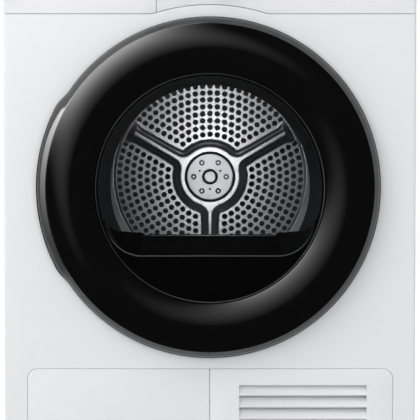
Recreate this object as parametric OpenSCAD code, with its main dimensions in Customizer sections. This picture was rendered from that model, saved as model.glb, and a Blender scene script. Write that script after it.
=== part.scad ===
// Front-loading heat pump clothes dryer, built as separate pieces that come apart on a bench.
// Millimetres, +Z up, front towards -Y, origin on the floor under the middle of the whole machine.
// Inside this file a depth is counted from the front panel's face, and grows towards the rear.

/* [Cabinet] */
// Width across the side panels
cab_w = 600; // [592:2:640]
// Height from the floor to the top of the worktop
cab_h = 850; // [846:2:870]
// Depth from the front panel's face to the rearmost cover
cab_d = 600; // [596:2:640]
// Thickness of the steel sheet
sheet = 1; // [0.8:0.1:1.3]
// Thickness of the worktop
top_t = 18; // [14:1:20]
// Height of the base above the floor, with the feet screwed in
base_z = 14; // [13:0.5:18]
// Radius of the upright front edges
edge_r = 4; // [3:0.5:5]
// Depth of the air duct on the rear
duct_d = 29; // [26:1:34]
// Radius of a foot's pad
foot_r = 22; // [18:1:26]

/* [Control panel] */
// Height of the control panel
panel_h = 107; // [104:1:109]
// Width of the water tank's drawer front
drawer_w = 221.5; // [214:0.5:226]
// Wall of the moulded covers
wall = 3; // [2.5:0.1:3.4]
// Gap between neighbouring covers
gap = 0.8; // [0.6:0.1:1]
// Radius of the programme dial
dial_r = 27; // [23:1:29]
// Width of the display window
display_w = 132; // [110:2:140]
// Radius of the push buttons
button_r = 9.5; // [8:0.5:11]

/* [Door] */
// Height of the door's and the drum's axis above the floor
axis_z = 473; // [471:0.5:474]
// How far the ring's rounded front stands out of the front panel
door_out = 40; // [38:0.5:42]
// Outer radius of the door ring where it meets the cabinet
door_r = 248.5; // [247:0.5:249]
// Width of the tapered rim seen from the front
rim_w = 10; // [9:0.5:11]
// How far the step between the rim and the rounded front stands out
rim_out = 26; // [24:0.5:28]
// Radius at which the ring's rounded front stands highest
crest_r = 203; // [200:0.5:206]
// How far the ring's inner edge stands out
lip_out = 30.5; // [29:0.5:32]
// Radius of the ring's inner edge round the glass
ring_bore = 167.5; // [167:0.5:169]
// Gap behind the door ring
door_gap = 4.5; // [4.2:0.1:5]
// How far the grip stands out of the ring
grip_out = 4.7; // [3:0.1:5]
// Half of the angle that the grip takes up
grip_half = 30; // [26:1:34]
// Thickness of the two door glasses
glass_t = 4; // [3:0.5:4.5]
// Depth of the inner glass bowl
bowl_depth = 52; // [44:1:54]
// Radius of the opening in the front panel
open_r = 186; // [185:0.5:188]
// Radius of the window left clear in the printed mask
window_r = 162; // [158:0.5:162.5]
// Height of the window's straight lower edge below the axis
window_drop = 99; // [92:1:104]

/* [Drum] */
// Outer radius of the drum
drum_r = 284; // [281:0.5:285]
// Depth at which the drum begins
drum_front = 112; // [111:0.5:114]
// Space between the drum and the rear panel
drum_clear = 65; // [64:1:70]
// Radius of the collar where it opens into the drum
mouth_r = 150; // [148:0.5:152]
// Radius of the perforated plate
perf_r = 157.4; // [155:0.2:159]
// Radius of one perforation
hole_r = 3.8; // [3.2:0.1:4]
// Distance between rings of perforations
hole_pitch = 11.5; // [11.2:0.1:11.8]
// Distance between perforations along a ring
hole_gap = 12.3; // [12:0.1:12.8]
// Height of the pressed three-armed star
star_h = 7; // [6:0.5:8]
// Radius of the star's hub at its top
star_hub_r = 52; // [50:0.5:54]
// Height of a lifter
lifter_h = 46; // [36:1:52]

/* [Drive] */
// Radius of the motor's belt pulley
pulley_r = 10; // [8:0.5:12]
// Radius of the blower wheel
blower_r = 72; // [66:1:75]
// Thickness of the drive belt
belt_t = 2; // [1.6:0.1:2.4]
// Radius of the support rollers
roller_r = 17; // [15:0.5:18]

/* [Hidden] */
$fn = 96;

// Clearances
fit = 0.05;      // round running fits, on the radius
seat = 0.3;      // pieces of different bodies at rest
slip = 0.5;      // sliding pieces, each side

// Cabinet
front_y = (door_out - cab_d) / 2;
half_w = cab_w / 2;
inner_x = half_w - sheet;
top_z = cab_h - top_t;
seam_z = top_z - panel_h;
arc_r = door_r + 17.1;
blend_r = 40;    // fillet where the seam turns up round the door
dip = 0.05;      // how far a round stretch dips into the one that it runs on from
back_y = cab_d - duct_d - sheet;
return_y = 22;
flange = 10;
pan_deep = 3;
gland_r = 11;

// Lower opening with the flap and the vent
low_x = half_w - 32.7;
low_z0 = base_z + 25.5;
low_z1 = low_z0 + 168.6;
low_r = 14.5;
flap_axis_y = 8;
flap_axis_z = low_z0 + 8.5;
flap_split = -0.75;
flap_pin_r = 3;
flap_lugs = [-low_x + 18, -32];
vent_x0 = 42.6;
vent_x1 = 229.2;
louvre_pitch = 17.4;
louvres = 7;
vent_top = low_z1 - 24.5;

// Control panel pieces
panel_x0 = -half_w + drawer_w + gap;
panel_z0 = seam_z + gap;
panel_z1 = top_z - 0.5;
face_z = (panel_z0 + panel_z1) / 2 + 3.4;
dial_x = panel_x0 + 83.7;
power_x = panel_x0 + 29.7;
start_x = half_w - 28;
display_x = (dial_x + dial_r + start_x - button_r) / 2;
display_h = 40;
button_travel = 2;

// Door
crease_r = door_r - rim_w;
rim_step = 0.4;
rim_land = 4;
frame_y = -door_gap - 2.5;
frame_t = 3;
frame_r = crease_r + 1.5;
front_arc_r = arc_radius(crease_r - crest_r, door_out - rim_out);
inner_arc_r = arc_radius(crest_r - ring_bore, door_out - lip_out);
grip_shift = grip_out * (grip_out + 2 * door_r) / (2 * (door_r + grip_out - door_r * cos(grip_half)));
grip_r = door_r + grip_out - grip_shift;
glass_r = ring_bore - 1.5;
glass_y = -lip_out + 0.5;
mask_t = 1;
mask_y = glass_y + glass_t;
window_corner_r = 53;
bowl_r = 160;
bowl_floor_r = 128;
gasket_r0 = 175;
gasket_r1 = 183;

// Door hinge
pin_x = half_w - 25;
pin_y = 12;
pin_r = 4;
neck_r = 40;
neck_w = 8;
neck_start = 70;
neck_end = 205;
neck_clear = 17.5;   // angle at which the neck leaves its pocket in the front panel
arm_z = 45;
arm_h = 8;
lug_z = 52;
lug_h = 8;
hook_x = -215;

// Bulkhead and filter
seal_y = 12;
collar_r = 172;
collar_t = 2;
bulk_y = drum_front - 8;
filter_half = 101.7;
filter_top = 74;
filter_y0 = 58;
slot_y0 = 70;
slot_y1 = 100;
slot_half = 91;
filter_len = 168;

// Drum
drum_rear = back_y - drum_clear;
disc_y = drum_rear - 2;
perf_y = disc_y + 0.5;
star_y = perf_y - star_h;
cap_r = 38.7;
recess_r = 42;
recess_d = 1.5;
shaft_r = 10;
star_arms = [30, 150, 270];
arm_top_w = 9.4;
arm_slope = 7.8;
arm_margin = 3.4;
hub_slope = 12;
first_ring = 70.7;
rings = 8;
lip_r = drum_r - 22;
roller_angle = 32;
roller_at = drum_r + seat + roller_r;
roller_w = 20;
roller_y = drum_front + 10;
roller_pin_r = 5;
air_r = 172;
felt_r0 = 173;
felt_t = 3.5;

// Drive
motor_x = -30;
motor_z = 115;
motor_r = 55;
belt_y = 300;
belt_w = 12;
belt_drum_r = drum_r + seat;
belt_pulley_r = pulley_r + seat;
fan_y = back_y - 50;
fan_w = 34;
motor_len = 122;
fan_x0 = -half_w + 100;
scroll_r = blower_r + 8;

// Heat pump
hx_x0 = -half_w + 50;
hx_x1 = -58;
hx_z0 = base_z + 14;
hx_z1 = axis_z - roller_at * cos(roller_angle) - roller_r - 10.4;
hx_y0 = 40;
hx_y1 = 280;
fins_y = [112, 184];
tray_z = base_z + sheet;
tray_t = 3;
tray_top = tray_z + 24;
foot_at = [half_w - 36, 38, back_y - 40];
foot_stem_r = 5;
comp_x = half_w - 110;
comp_y = back_y - 108;

// Water tank
bay_x0 = -half_w + flange;
bay_x1 = -half_w + drawer_w - 4;
bay_t = 2;
bay_z = top_z - 72;
tank_y0 = return_y + 4;
tank_y1 = back_y - 70;

// ---- helpers ----

// Radius of the arc that rises by rise over half a chord
function arc_radius(half_chord, rise) = (half_chord * half_chord + rise * rise) / (2 * rise);

// Puts a piece from the front panel's depths into the machine's own frame
module in_frame() translate([0, front_y, 0]) children();

// A block between two corners
module block(low, high) translate(low) cube(high - low);

// A flat outline in X and Z, between two depths
module plate(y0, y1) translate([0, y1, 0]) rotate([90, 0, 0]) linear_extrude(y1 - y0) children();

// A flat outline in Y and Z, between two widths
module slab(x0, x1) translate([x0, 0, 0]) rotate([90, 0, 90]) linear_extrude(x1 - x0) children();

// A section of radius and depth, turned about an axis along Y
module turned(x = 0, z = axis_z) translate([x, 0, z]) rotate([-90, 0, 0]) rotate_extrude() children();

// A round bar along Y, from one depth to another
module bar_y(x, z, r, y0, y1) translate([x, y0, z]) rotate([-90, 0, 0]) cylinder(r = r, h = y1 - y0);

// A round bar along X
module bar_x(y, z, r, x0, x1) translate([x0, y, z]) rotate([0, 90, 0]) cylinder(r = r, h = x1 - x0);

// A rectangle between two corners
module rect(low, high) translate(low) square(high - low);

// A rectangle with round corners
module round_rect(low, high, r) union() {
    rect([low[0] + r, low[1]], [high[0] - r, high[1]]);
    rect([low[0], low[1] + r], [high[0], high[1] - r]);
    for (x = [low[0] + r, high[0] - r], y = [low[1] + r, high[1] - r]) translate([x, y]) circle(r = r);
}

// ---- cabinet ----

module worktop() in_frame() color("whitesmoke") difference() {
    translate([0, 0, top_z]) linear_extrude(top_t)
        round_rect([-half_w, 0], [half_w, cab_d], 6);
    block([-half_w + 14, 14, top_z - 1], [half_w - 14, cab_d - 14, top_z + 3]);
}

// One side panel with its flanges and a pressed stiffening field
module side_panel() {
    y0 = return_y + 0.5;
    field = [[130, base_z + 110], [back_y - 70, seam_z - 40]];
    difference() {
        union() {
            block([inner_x, y0, base_z], [half_w, back_y, top_z]);
            block([half_w - flange, y0, tray_top + 1], [inner_x, y0 + sheet, top_z]);
            block([half_w - flange, back_y - sheet, tray_top + 1], [inner_x, back_y, top_z]);
            block([half_w - flange, y0, base_z], [inner_x, back_y, tray_z]);
            block([half_w - flange, y0, top_z - sheet], [inner_x, back_y, top_z]);
            slab(inner_x - pan_deep, inner_x) round_rect(field[0], field[1], 40);
        }
        slab(half_w - pan_deep, half_w + 1)
            round_rect(field[0] + [sheet, sheet], field[1] - [sheet, sheet], 40 - sheet);
    }
}

module side_right() in_frame() color("whitesmoke") side_panel();

module side_left() in_frame() color("whitesmoke") mirror([1, 0, 0]) side_panel();

// Plan of a skin that wraps round the two front edges
module front_plan(x0, x1, left_edge, right_edge) difference() {
    union() {
        rect([x0, edge_r], [x1, return_y]);
        rect([x0 + (left_edge ? edge_r : 0), 0], [x1 - (right_edge ? edge_r : 0), edge_r]);
        if (left_edge) translate([x0 + edge_r, edge_r]) circle(r = edge_r);
        if (right_edge) translate([x1 - edge_r, edge_r]) circle(r = edge_r);
    }
}

// Outline below the control panel's seam, which rises in an arc round the door, grown by a margin
module seam_outline(grow) {
    blend_z = seam_z + blend_r - dip;
    blend_x = sqrt(pow(arc_r + blend_r - dip, 2) - pow(blend_z - axis_z, 2));
    aim = [blend_x, blend_z - axis_z] / norm([blend_x, blend_z - axis_z]);
    union() {
        rect([-half_w - 1, base_z - 1], [half_w + 1, seam_z + grow]);
        translate([0, axis_z]) circle(r = arc_r + grow);
        for (side = [0, 1]) mirror([side, 0]) difference() {
            polygon([
                [blend_x, seam_z - 1], [blend_x, seam_z + grow - dip],
                [0, axis_z] + (arc_r + grow - dip) * aim, [0, axis_z] + (arc_r - 1) * aim
            ]);
            translate([blend_x, blend_z]) circle(r = blend_r - grow);
        }
    }
}

module front_panel() in_frame() color("whitesmoke") difference() {
    union() {
        intersection() {
            translate([0, 0, base_z]) linear_extrude(axis_z + arc_r - base_z) difference() {
                front_plan(-half_w, half_w, true, true);
                front_inside();
            }
            plate(-1, return_y + 1) seam_outline(0);
        }
        block([-half_w + edge_r, sheet / 2, base_z], [half_w - edge_r, 14, tray_z]);
        turned() rect([open_r, sheet / 2], [open_r + sheet, seal_y]);
    }
    bar_y(0, axis_z, open_r, -1, seal_y + 1);
    plate(-1, 2 * sheet) round_rect([-low_x, low_z0], [low_x, low_z1], low_r);
    plate(-1, 2 * sheet) rect([-low_x, low_z0], [low_x, low_z0 + 30]);
    for (side = [-1, 1])
        block([pin_x - neck_r - neck_w / 2, -1, axis_z + side * arm_z - arm_h / 2 - 1.5],
              [pin_x - neck_r * cos(neck_clear) + neck_w / 2 + 1.2, 2 * sheet,
               axis_z + side * arm_z + arm_h / 2 + 1.5]);
    block([hook_x - 7, -1, axis_z - 14], [hook_x + 7, 2 * sheet, axis_z + 14]);
}

// Hollow of a wrapped skin of sheet steel
module front_inside() union() {
    rect([-inner_x, edge_r], [inner_x, return_y + 1]);
    rect([-half_w + edge_r, sheet], [half_w - edge_r, edge_r + 1]);
    for (side = [-1, 1]) translate([side * (half_w - edge_r), edge_r]) circle(r = edge_r - sheet);
}

module rear_panel() in_frame() color("gainsboro") union() {
    plate(back_y, back_y + sheet) difference() {
        rect([-inner_x, base_z], [inner_x, top_z]);
        translate([0, axis_z]) circle(r = air_r);
        for (i = [0 : 6]) translate([half_w - 130, base_z + 46 + 14 * i]) round_rect([0, 0], [80, 6], 2.9);
        round_rect([fan_x0, base_z + 24], [motor_x - 30, base_z + 120], 8);
        translate([half_w - 50, top_z - 132]) circle(r = gland_r);
    }
    turned() difference() {
        rect([air_r - sheet, drum_rear + 1.5 + felt_t], [air_r + 14, back_y + sheet / 2]);
        rect([air_r, drum_rear + 1.5 + felt_t + sheet], [air_r + 15, back_y]);
    }
}

// Outline of the air duct on the rear, grown by a margin
module duct_outline(margin) union() {
    translate([0, axis_z]) circle(r = air_r + 12 + margin);
    rect([fan_x0 - 12 - margin, base_z + 16 - margin], [motor_x + 10 + margin, axis_z - 60]);
}

module duct_cover() in_frame() color("lightgray") difference() {
    union() {
        plate(back_y + sheet, back_y + sheet + 2) duct_outline(10);
        plate(back_y + sheet, cab_d) duct_outline(0);
    }
    plate(back_y, cab_d - 2) duct_outline(-2);
}

module bearing_bracket() in_frame() color("silver") difference() {
    union() {
        bar_y(0, axis_z, 24, back_y - 24, back_y + sheet + 5);
        plate(back_y + sheet, back_y + sheet + 5) translate([0, axis_z]) for (a = star_arms)
            rotate(a) rect([0, -14], [air_r + 9, 14]);
    }
    bar_y(0, axis_z, shaft_r + fit, back_y - 25, back_y + sheet + 6);
}

// ---- base ----

module base_tray() in_frame() color("dimgray") difference() {
    union() {
        difference() {
            block([-inner_x + 2, 2, tray_z], [inner_x - 2, back_y - 1, tray_top]);
            block([-inner_x + 5, 5, tray_z + tray_t], [inner_x - 5, back_y - 4, tray_top + 1]);
            block([-low_x - 2, 1, flap_axis_z - 13], [low_x + 2, 6, tray_top + 1]);
            block([fan_x0 - 4, back_y - 5, tray_z + tray_t], [motor_x + 44, back_y, tray_top + 1]);
        }
        for (x = [-1, 1] * foot_at[0], y = [foot_at[1], foot_at[2]])
            translate([x, y, tray_z]) cylinder(r = 10, h = 18);
        for (x = flap_lugs) {
            block([x - 7, 18, tray_z + tray_t], [x - 1, 30, flap_axis_z + 4.5]);
            block([x - 7, flap_axis_y, flap_axis_z - 4.5], [x - 1, 19, flap_axis_z + 4.5]);
            bar_x(flap_axis_y, flap_axis_z, 4.5, x - 7, x - 1);
        }
        motor_stand(belt_y + 18);
        motor_stand(belt_y + motor_len);
        idler_post();
        for (a = [45 : 90 : 315]) translate([comp_x + 52 * cos(a), comp_y + 52 * sin(a), tray_z + tray_t])
            cylinder(r = 8, h = 6);
    }
    for (x = [-1, 1] * foot_at[0], y = [foot_at[1], foot_at[2]])
        translate([x, y, tray_z - 1]) cylinder(r = foot_stem_r + fit, h = 20);
    for (x = flap_lugs) bar_x(flap_axis_y, flap_axis_z, flap_pin_r + fit, x - 8, x);
}

// A cradle under one end of the motor
module motor_stand(y) difference() {
    block([motor_x - 40, y, tray_z + tray_t], [motor_x + 40, y + 10, motor_z - 20]);
    bar_y(motor_x, motor_z, motor_r, y - 1, y + 11);
}

module levelling_feet() in_frame() color("black") for (x = [-1, 1] * foot_at[0], y = [foot_at[1], foot_at[2]])
    translate([x, y, 0]) union() {
        cylinder(r1 = foot_r - 2, r2 = foot_r, h = 3);
        translate([0, 0, 3]) cylinder(r1 = foot_r, r2 = 12, h = 6);
        translate([0, 0, 9]) cylinder(r = 9.8, h = tray_z - 9, $fn = 6);
        translate([0, 0, 9]) cylinder(r = foot_stem_r, h = tray_z + 12);
    }

// ---- lower front ----

module hx_cover() in_frame() color("whitesmoke") union() {
    z0 = low_z0 + 1.4;
    z1 = low_z1 - 0.5;
    plate(0, wall) union() {
        round_rect([-low_x + 0.5, z0], [flap_split, z1], low_r - 0.5);
        rect([flap_split - 30, z0], [flap_split, z1]);
        rect([-low_x + 0.5, z0], [flap_split, z0 + 30]);
    }
    plate(wall / 2, wall + 4) difference() {
        rect([-low_x + 20, z0 + 20], [flap_split - 6, z1 - 6]);
        rect([-low_x + 22, z0 + 22], [flap_split - 8, z1 - 8]);
    }
    for (x = flap_lugs) {
        flap_lug(x);
        bar_x(flap_axis_y, flap_axis_z, flap_pin_r, x - 6.5, x + 5);
    }
}

// A lug that joins the flap to its hinge pin
module flap_lug(x) union() {
    bar_x(flap_axis_y, flap_axis_z, 4, x - 0.5, x + 9);
    block([x - 0.5, wall / 2, flap_axis_z - 4], [x + 9, flap_axis_y, flap_axis_z + 4]);
}

module vent_panel() in_frame() color("whitesmoke") union() {
    difference() {
        union() {
            plate(0, wall) union() {
                round_rect([0, low_z0 + 0.5], [low_x - 0.5, low_z1 - 0.5], low_r - 0.5);
                rect([0, low_z0 + 0.5], [30, low_z1 - 0.5]);
                rect([0, low_z0 + 0.5], [low_x - 0.5, low_z0 + 30]);
            }
            plate(wall / 2, 16) difference() {
                rect([vent_x0 - 4, vent_bottom() - 4], [vent_x1 + 4, vent_top + 4]);
                rect([vent_x0, vent_bottom()], [vent_x1, vent_top]);
            }
            plate(wall / 2, 12) difference() {
                rect([4, low_z0 + 5], [low_x - 15, low_z1 - 5]);
                rect([6, low_z0 + 7], [low_x - 17, low_z1 - 7]);
            }
        }
        plate(-1, wall + 1) rect([vent_x0, vent_bottom()], [vent_x1, vent_top]);
    }
    for (i = [0 : louvres - 1]) louvre(vent_top - i * louvre_pitch);
}

function vent_bottom() = vent_top - louvres * louvre_pitch;

// One sloping blade of the vent, hung from the height of its rear edge
module louvre(z) slab(vent_x0 - 1, vent_x1 + 1) polygon([
    [0.4, z - louvre_pitch + 2.2], [2.2, z - louvre_pitch + 2.2], [12, z - 3.4], [12, z - 1.2],
    [10.4, z - 1.2], [0.4, z - louvre_pitch + 4.6]
]);

// ---- heat pump ----

module hx_housing() in_frame() color("gray") difference() {
    block([hx_x0, hx_y0, hx_z0 - 4], [hx_x1, hx_y1 + 12, hx_z1]);
    block([hx_x0 + 2.5, hx_y0 - 1, hx_z0], [hx_x1 - 2.5, hx_y1, hx_z1 - 2.5]);
    block([-110, slot_y0, hx_z1 - 3], [hx_x1 - 8, slot_y1, hx_z1 + 1]);
    block([hx_x0 + 20, hx_y1 - 1, hx_z0 + 20], [hx_x1 - 20, hx_y1 + 13, hx_z1 - 60]);
}

// A block of thin fins with tube ends, between two depths
module fin_block(y0, y1, fins) union() {
    x0 = hx_x0 + 4;
    x1 = hx_x1 - 4;
    pitch = (x1 - x0 - 2) / (fins - 1);
    for (i = [0 : fins - 1]) block([x0 + i * pitch, y0, hx_z0], [x0 + i * pitch + 1, y1, hx_z1 - 4]);
    block([x0, y0 + 3, hx_z0], [x1 - 1, y1 - 3, hx_z0 + 4]);
    for (i = [0 : 2], j = [0 : 4])
        bar_x(y0 + (y1 - y0) * (i + 0.5) / 3, hx_z0 + 18 + 27 * j, 5, x0, x1);
}

module evaporator() in_frame() color("silver") fin_block(fins_y[0], fins_y[1], 16);

module condenser() in_frame() color("silver") fin_block(fins_y[1] + 10, hx_y1 - 4, 16);

module hx_inner_cover() in_frame() color("dimgray") difference() {
    union() {
        block([hx_x0, hx_y0 - 4, hx_z0 - 4], [hx_x1, hx_y0, hx_z1]);
        block([hx_x0 + 3, hx_y0, hx_z0 + 0.5], [hx_x1 - 3, hx_y0 + 6, hx_z1 - 3]);
        for (i = [0 : 3]) block([hx_x0 + 46 + 26 * i, hx_y0 - 8, hx_z0 + 16],
                                [hx_x0 + 50 + 26 * i, hx_y0 - 4, hx_z1 - 20]);
    }
    block([hx_x0 + 6, hx_y0 - 1, hx_z0 + 4], [hx_x1 - 6, hx_y0 + 7, hx_z1 - 6]);
    for (x = latch_xs()) bar_y(x, latch_z(), 4 + fit, hx_y0 - 5, hx_y0 + 8);
}

function latch_xs() = [hx_x0 + 22, hx_x1 - 22];
function latch_z() = (hx_z0 + hx_z1) / 2;

// A quarter-turn knob with a grip bar
module turn_latch(x) union() {
    bar_y(x, latch_z(), 4, hx_y0 - 5, hx_y0 + 4);
    bar_y(x, latch_z(), 13, hx_y0 - 8, hx_y0 - 4 - seat);
    block([x - 3, hx_y0 - 16, latch_z() - 12], [x + 3, hx_y0 - 8, latch_z() + 12]);
}

module inner_latch_left() in_frame() color("royalblue") turn_latch(latch_xs()[0]);

module inner_latch_right() in_frame() color("royalblue") turn_latch(latch_xs()[1]);

module compressor() in_frame() color("#222222") translate([comp_x, comp_y, 0]) union() {
    z0 = tray_z + tray_t + 6;
    translate([0, 0, z0]) cylinder(r = 66, h = 4);
    translate([0, 0, z0 + 4]) cylinder(r = 55, h = 130);
    translate([0, 0, z0 + 134]) cylinder(r1 = 55, r2 = 34, h = 22);
    translate([0, 0, z0 + 156]) cylinder(r = 12, h = 8);
    translate([-74, -26, z0 + 4]) cylinder(r = 18, h = 96);
    translate([-62, -40, z0 + 44]) cube([24, 28, 6]);
}

// A pipe in a level plane: out along X, a bend, then along Y to the front
module pipe_run(x0, x1, y, z, y_end, r) {
    bend = 4 * r;
    bar_x(y, z, r, x1 + bend, x0);
    translate([x1 + bend, y - bend, z]) rotate([0, 0, 90]) rotate_extrude(angle = 90)
        translate([bend, 0]) circle(r = r);
    bar_y(x1, z, r, y_end, y - bend);
}

module refrigerant_pipes() in_frame() color("chocolate") union() {
    pipe_run(comp_x - 92.1, hx_x0 + 100, comp_y - 24, 52, hx_y1 + 12, 4);
    pipe_run(comp_x - 55.2, hx_x0 + 60, comp_y, 80, hx_y1 + 12, 5);
}

// ---- drive ----

module motor() in_frame() color("darkgray") difference() {
    union() {
        bar_y(motor_x, motor_z, motor_r - 8, belt_y + 14, belt_y + 14 + motor_len);
        bar_y(motor_x, motor_z, motor_r - seat, belt_y + 22, belt_y + 6 + motor_len);
        bar_y(motor_x, motor_z, 16, belt_y + 10, belt_y + 20 + motor_len);
    }
    bar_y(motor_x, motor_z, 6 + fit, belt_y, belt_y + 28 + motor_len);
    for (a = [0 : 30 : 330]) translate([motor_x, 0, motor_z]) rotate([0, a, 0])
        bar_y(36, 0, 5, belt_y + 13, belt_y + 20);
}

module motor_shaft() in_frame() color("silver") union() {
    bar_y(motor_x, motor_z, 6, belt_y - 10, fan_y + fan_w + 4);
    turned(motor_x, motor_z) difference() {
        rect([5, belt_y - 8], [pulley_r + 3, belt_y + 8]);
        rect([pulley_r, belt_y - belt_w / 2 - 0.5], [pulley_r + 4, belt_y + belt_w / 2 + 0.5]);
    }
    bar_y(motor_x, motor_z, 9, fan_y - 4, fan_y - seat);
}

module blower_wheel() in_frame() color("dimgray") union() {
    turned(motor_x, motor_z) rect([6 + fit, fan_y + fan_w - 3], [blower_r, fan_y + fan_w]);
    turned(motor_x, motor_z) rect([6 + fit, fan_y], [14, fan_y + fan_w]);
    turned(motor_x, motor_z) rect([blower_r - 14, fan_y], [blower_r, fan_y + 2]);
    for (a = [0 : 15 : 345]) translate([motor_x, 0, motor_z]) rotate([0, a, 0])
        translate([blower_r - 13, fan_y + 1, 0]) rotate([0, 28, 0]) cube([12, fan_w - 3, 1.6]);
}

module fan_scroll() in_frame() color("gray") difference() {
    union() {
        bar_y(motor_x, motor_z, scroll_r + 3, fan_y - 8, back_y);
        block([fan_x0, fan_y - 8, tray_z + tray_t], [motor_x - 30, back_y, base_z + 130]);
        block([motor_x - 40, fan_y - 8, tray_z + tray_t], [motor_x + 40, back_y, motor_z]);
    }
    bar_y(motor_x, motor_z, scroll_r, fan_y - 5, back_y + 1);
    bar_y(motor_x, motor_z, blower_r - 16, fan_y - 9, fan_y);
    block([fan_x0 + 10, fan_y - 5, base_z + 34], [motor_x - 30, back_y + 1, base_z + 116]);
}

// The idler runs on the inside of the belt's right-hand run, a little above the motor's pulley
idler_pivot = [motor_x + 100, 72];
idler_groove_r = 12;
idler_up = 68;
idler_clear = 5;    // how far the pulley stands clear of the rigid belt, so that the arm can swing
belt_aim = atan2(motor_z - axis_z, motor_x);
belt_open = acos((belt_drum_r - belt_pulley_r) / norm([motor_x, motor_z - axis_z]));
belt_out = [cos(belt_aim + belt_open), sin(belt_aim + belt_open)];
belt_run = [-belt_out[1], belt_out[0]];
idler_at = [motor_x, motor_z] + (belt_pulley_r - idler_clear - idler_groove_r) * belt_out + idler_up * belt_run;

module idler_post() union() {
    translate([idler_pivot[0] - 12, belt_y + 12, tray_z + tray_t])
        cube([24, 8, idler_pivot[1] - tray_z - tray_t]);
    bar_y(idler_pivot[0], idler_pivot[1], 12, belt_y + 12, belt_y + 20);
    bar_y(idler_pivot[0], idler_pivot[1], 4, belt_y - 2, belt_y + 12);
}

module idler_arm() in_frame() color("silver") {
    run = idler_at - idler_pivot;
    union() {
        plate(belt_y + 8, belt_y + 12 - seat) difference() {
            union() {
                translate(idler_pivot) circle(r = 8);
                translate(idler_at) circle(r = 8);
                translate(idler_pivot) rotate(atan2(run[1], run[0])) rect([0, -6], [norm(run), 6]);
            }
            translate(idler_pivot) circle(r = 4 + fit);
        }
        bar_y(idler_at[0], idler_at[1], 3, belt_y - 8, belt_y + 9);
    }
}

module idler_pulley() in_frame() color("black") turned(idler_at[0], idler_at[1])
    difference() {
        rect([3 + fit, belt_y - 7.5], [idler_groove_r + 2, belt_y + 7.5]);
        rect([idler_groove_r, belt_y - belt_w / 2 - seat], [idler_groove_r + 3, belt_y + belt_w / 2 + seat]);
    }

// Outline of a band round the drum and the pulley: two circles, and two straight runs between them
module band_outline(big, small) {
    aim = belt_aim;
    open = belt_open;
    union() {
        translate([0, axis_z]) circle(r = big);
        translate([motor_x, motor_z]) circle(r = small);
        polygon([
            [0, axis_z] + (big - dip) * [cos(aim + open), sin(aim + open)],
            [0, axis_z] + (big - dip) * [cos(aim - open), sin(aim - open)],
            [motor_x, motor_z] + (small - dip) * [cos(aim - open), sin(aim - open)],
            [motor_x, motor_z] + (small - dip) * [cos(aim + open), sin(aim + open)]
        ]);
    }
}

module drive_belt() in_frame() color("#1a1a1a") plate(belt_y - belt_w / 2, belt_y + belt_w / 2) difference() {
    band_outline(belt_drum_r + belt_t, belt_pulley_r + belt_t);
    band_outline(belt_drum_r, belt_pulley_r);
}

// ---- water path ----

hose_x = -half_w + 65;
hose_y = back_y - 24;
hose_top = bay_z + 30;

module drain_pump() in_frame() color("#333333") union() {
    translate([hose_x, hose_y - 4, tray_z + tray_t]) cylinder(r = 18, h = 36);
    translate([hose_x, hose_y, tray_z + tray_t + 30])
        cylinder(r = 5, h = hose_top - 14 - tray_z - tray_t - 30);
    translate([hose_x, hose_y - 14, hose_top - 14]) rotate([90, 0, 90]) rotate_extrude(angle = 90)
        translate([14, 0]) circle(r = 5);
    bar_y(hose_x, hose_top, 5, tank_y1 + 18, hose_y - 14);
}

module tank_bay() in_frame() color("lightgray") difference() {
    block([bay_x0, return_y + 2, bay_z], [bay_x1, tank_y1 + 18, top_z - 8]);
    block([bay_x0 + bay_t, return_y + 1, bay_z + bay_t], [bay_x1 - bay_t, tank_y1 + 16, top_z - 7]);
    bar_y(hose_x, hose_top, 4, tank_y1 + 15, tank_y1 + 20);
}

module water_tank() in_frame() color("aliceblue") difference() {
    x0 = bay_x0 + bay_t + slip;
    x1 = bay_x1 - bay_t - slip;
    z0 = bay_z + bay_t + seat;
    block([x0, tank_y0, z0], [x1, tank_y1, top_z - 14]);
    block([x0 + 2, tank_y0 + 2, z0 + 2], [x1 - 2, tank_y1 - 2, top_z - 13]);
}

module tank_lid() in_frame() color("lightsteelblue") difference() {
    x0 = bay_x0 + bay_t + slip;
    x1 = bay_x1 - bay_t - slip;
    block([x0, tank_y0, top_z - 14], [x1, tank_y1, top_z - 11]);
    translate([hose_x + 20, tank_y1 - 40, top_z - 15]) cylinder(r = 14, h = 5);
    block([x0 + 40, tank_y0 + 20, top_z - 15], [x0 + 120, tank_y0 + 44, top_z - 10]);
}

// A hollow moulded front with a face, a flange all round and one wrapped edge
module fascia(x0, x1, left_edge, right_edge) difference() {
    translate([0, 0, panel_z0]) linear_extrude(panel_z1 - panel_z0) front_plan(x0, x1, left_edge, right_edge);
    block([x0 + wall, wall, panel_z0 + wall], [x1 - wall, return_y + 1, panel_z1 - wall]);
    plate(-1, return_y + 1) seam_outline(gap);
}

grip_x = -half_w + drawer_w / 2;
grip_w = 110;
grip_d = 18;

module tank_front() in_frame() color("whitesmoke") difference() {
    union() {
        fascia(-half_w, -half_w + drawer_w, true, false);
        block([bay_x0 + 12, wall, bay_z + 12], [bay_x1 - 12, tank_y0, top_z - 22]);
    }
    plate(-1, grip_d) round_rect([grip_x - grip_w / 2, face_z - 16], [grip_x + grip_w / 2, face_z + 12], 10);
    plate(8, grip_d) round_rect([grip_x - grip_w / 2, face_z - 16], [grip_x + grip_w / 2, face_z + 19], 10);
}

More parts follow.
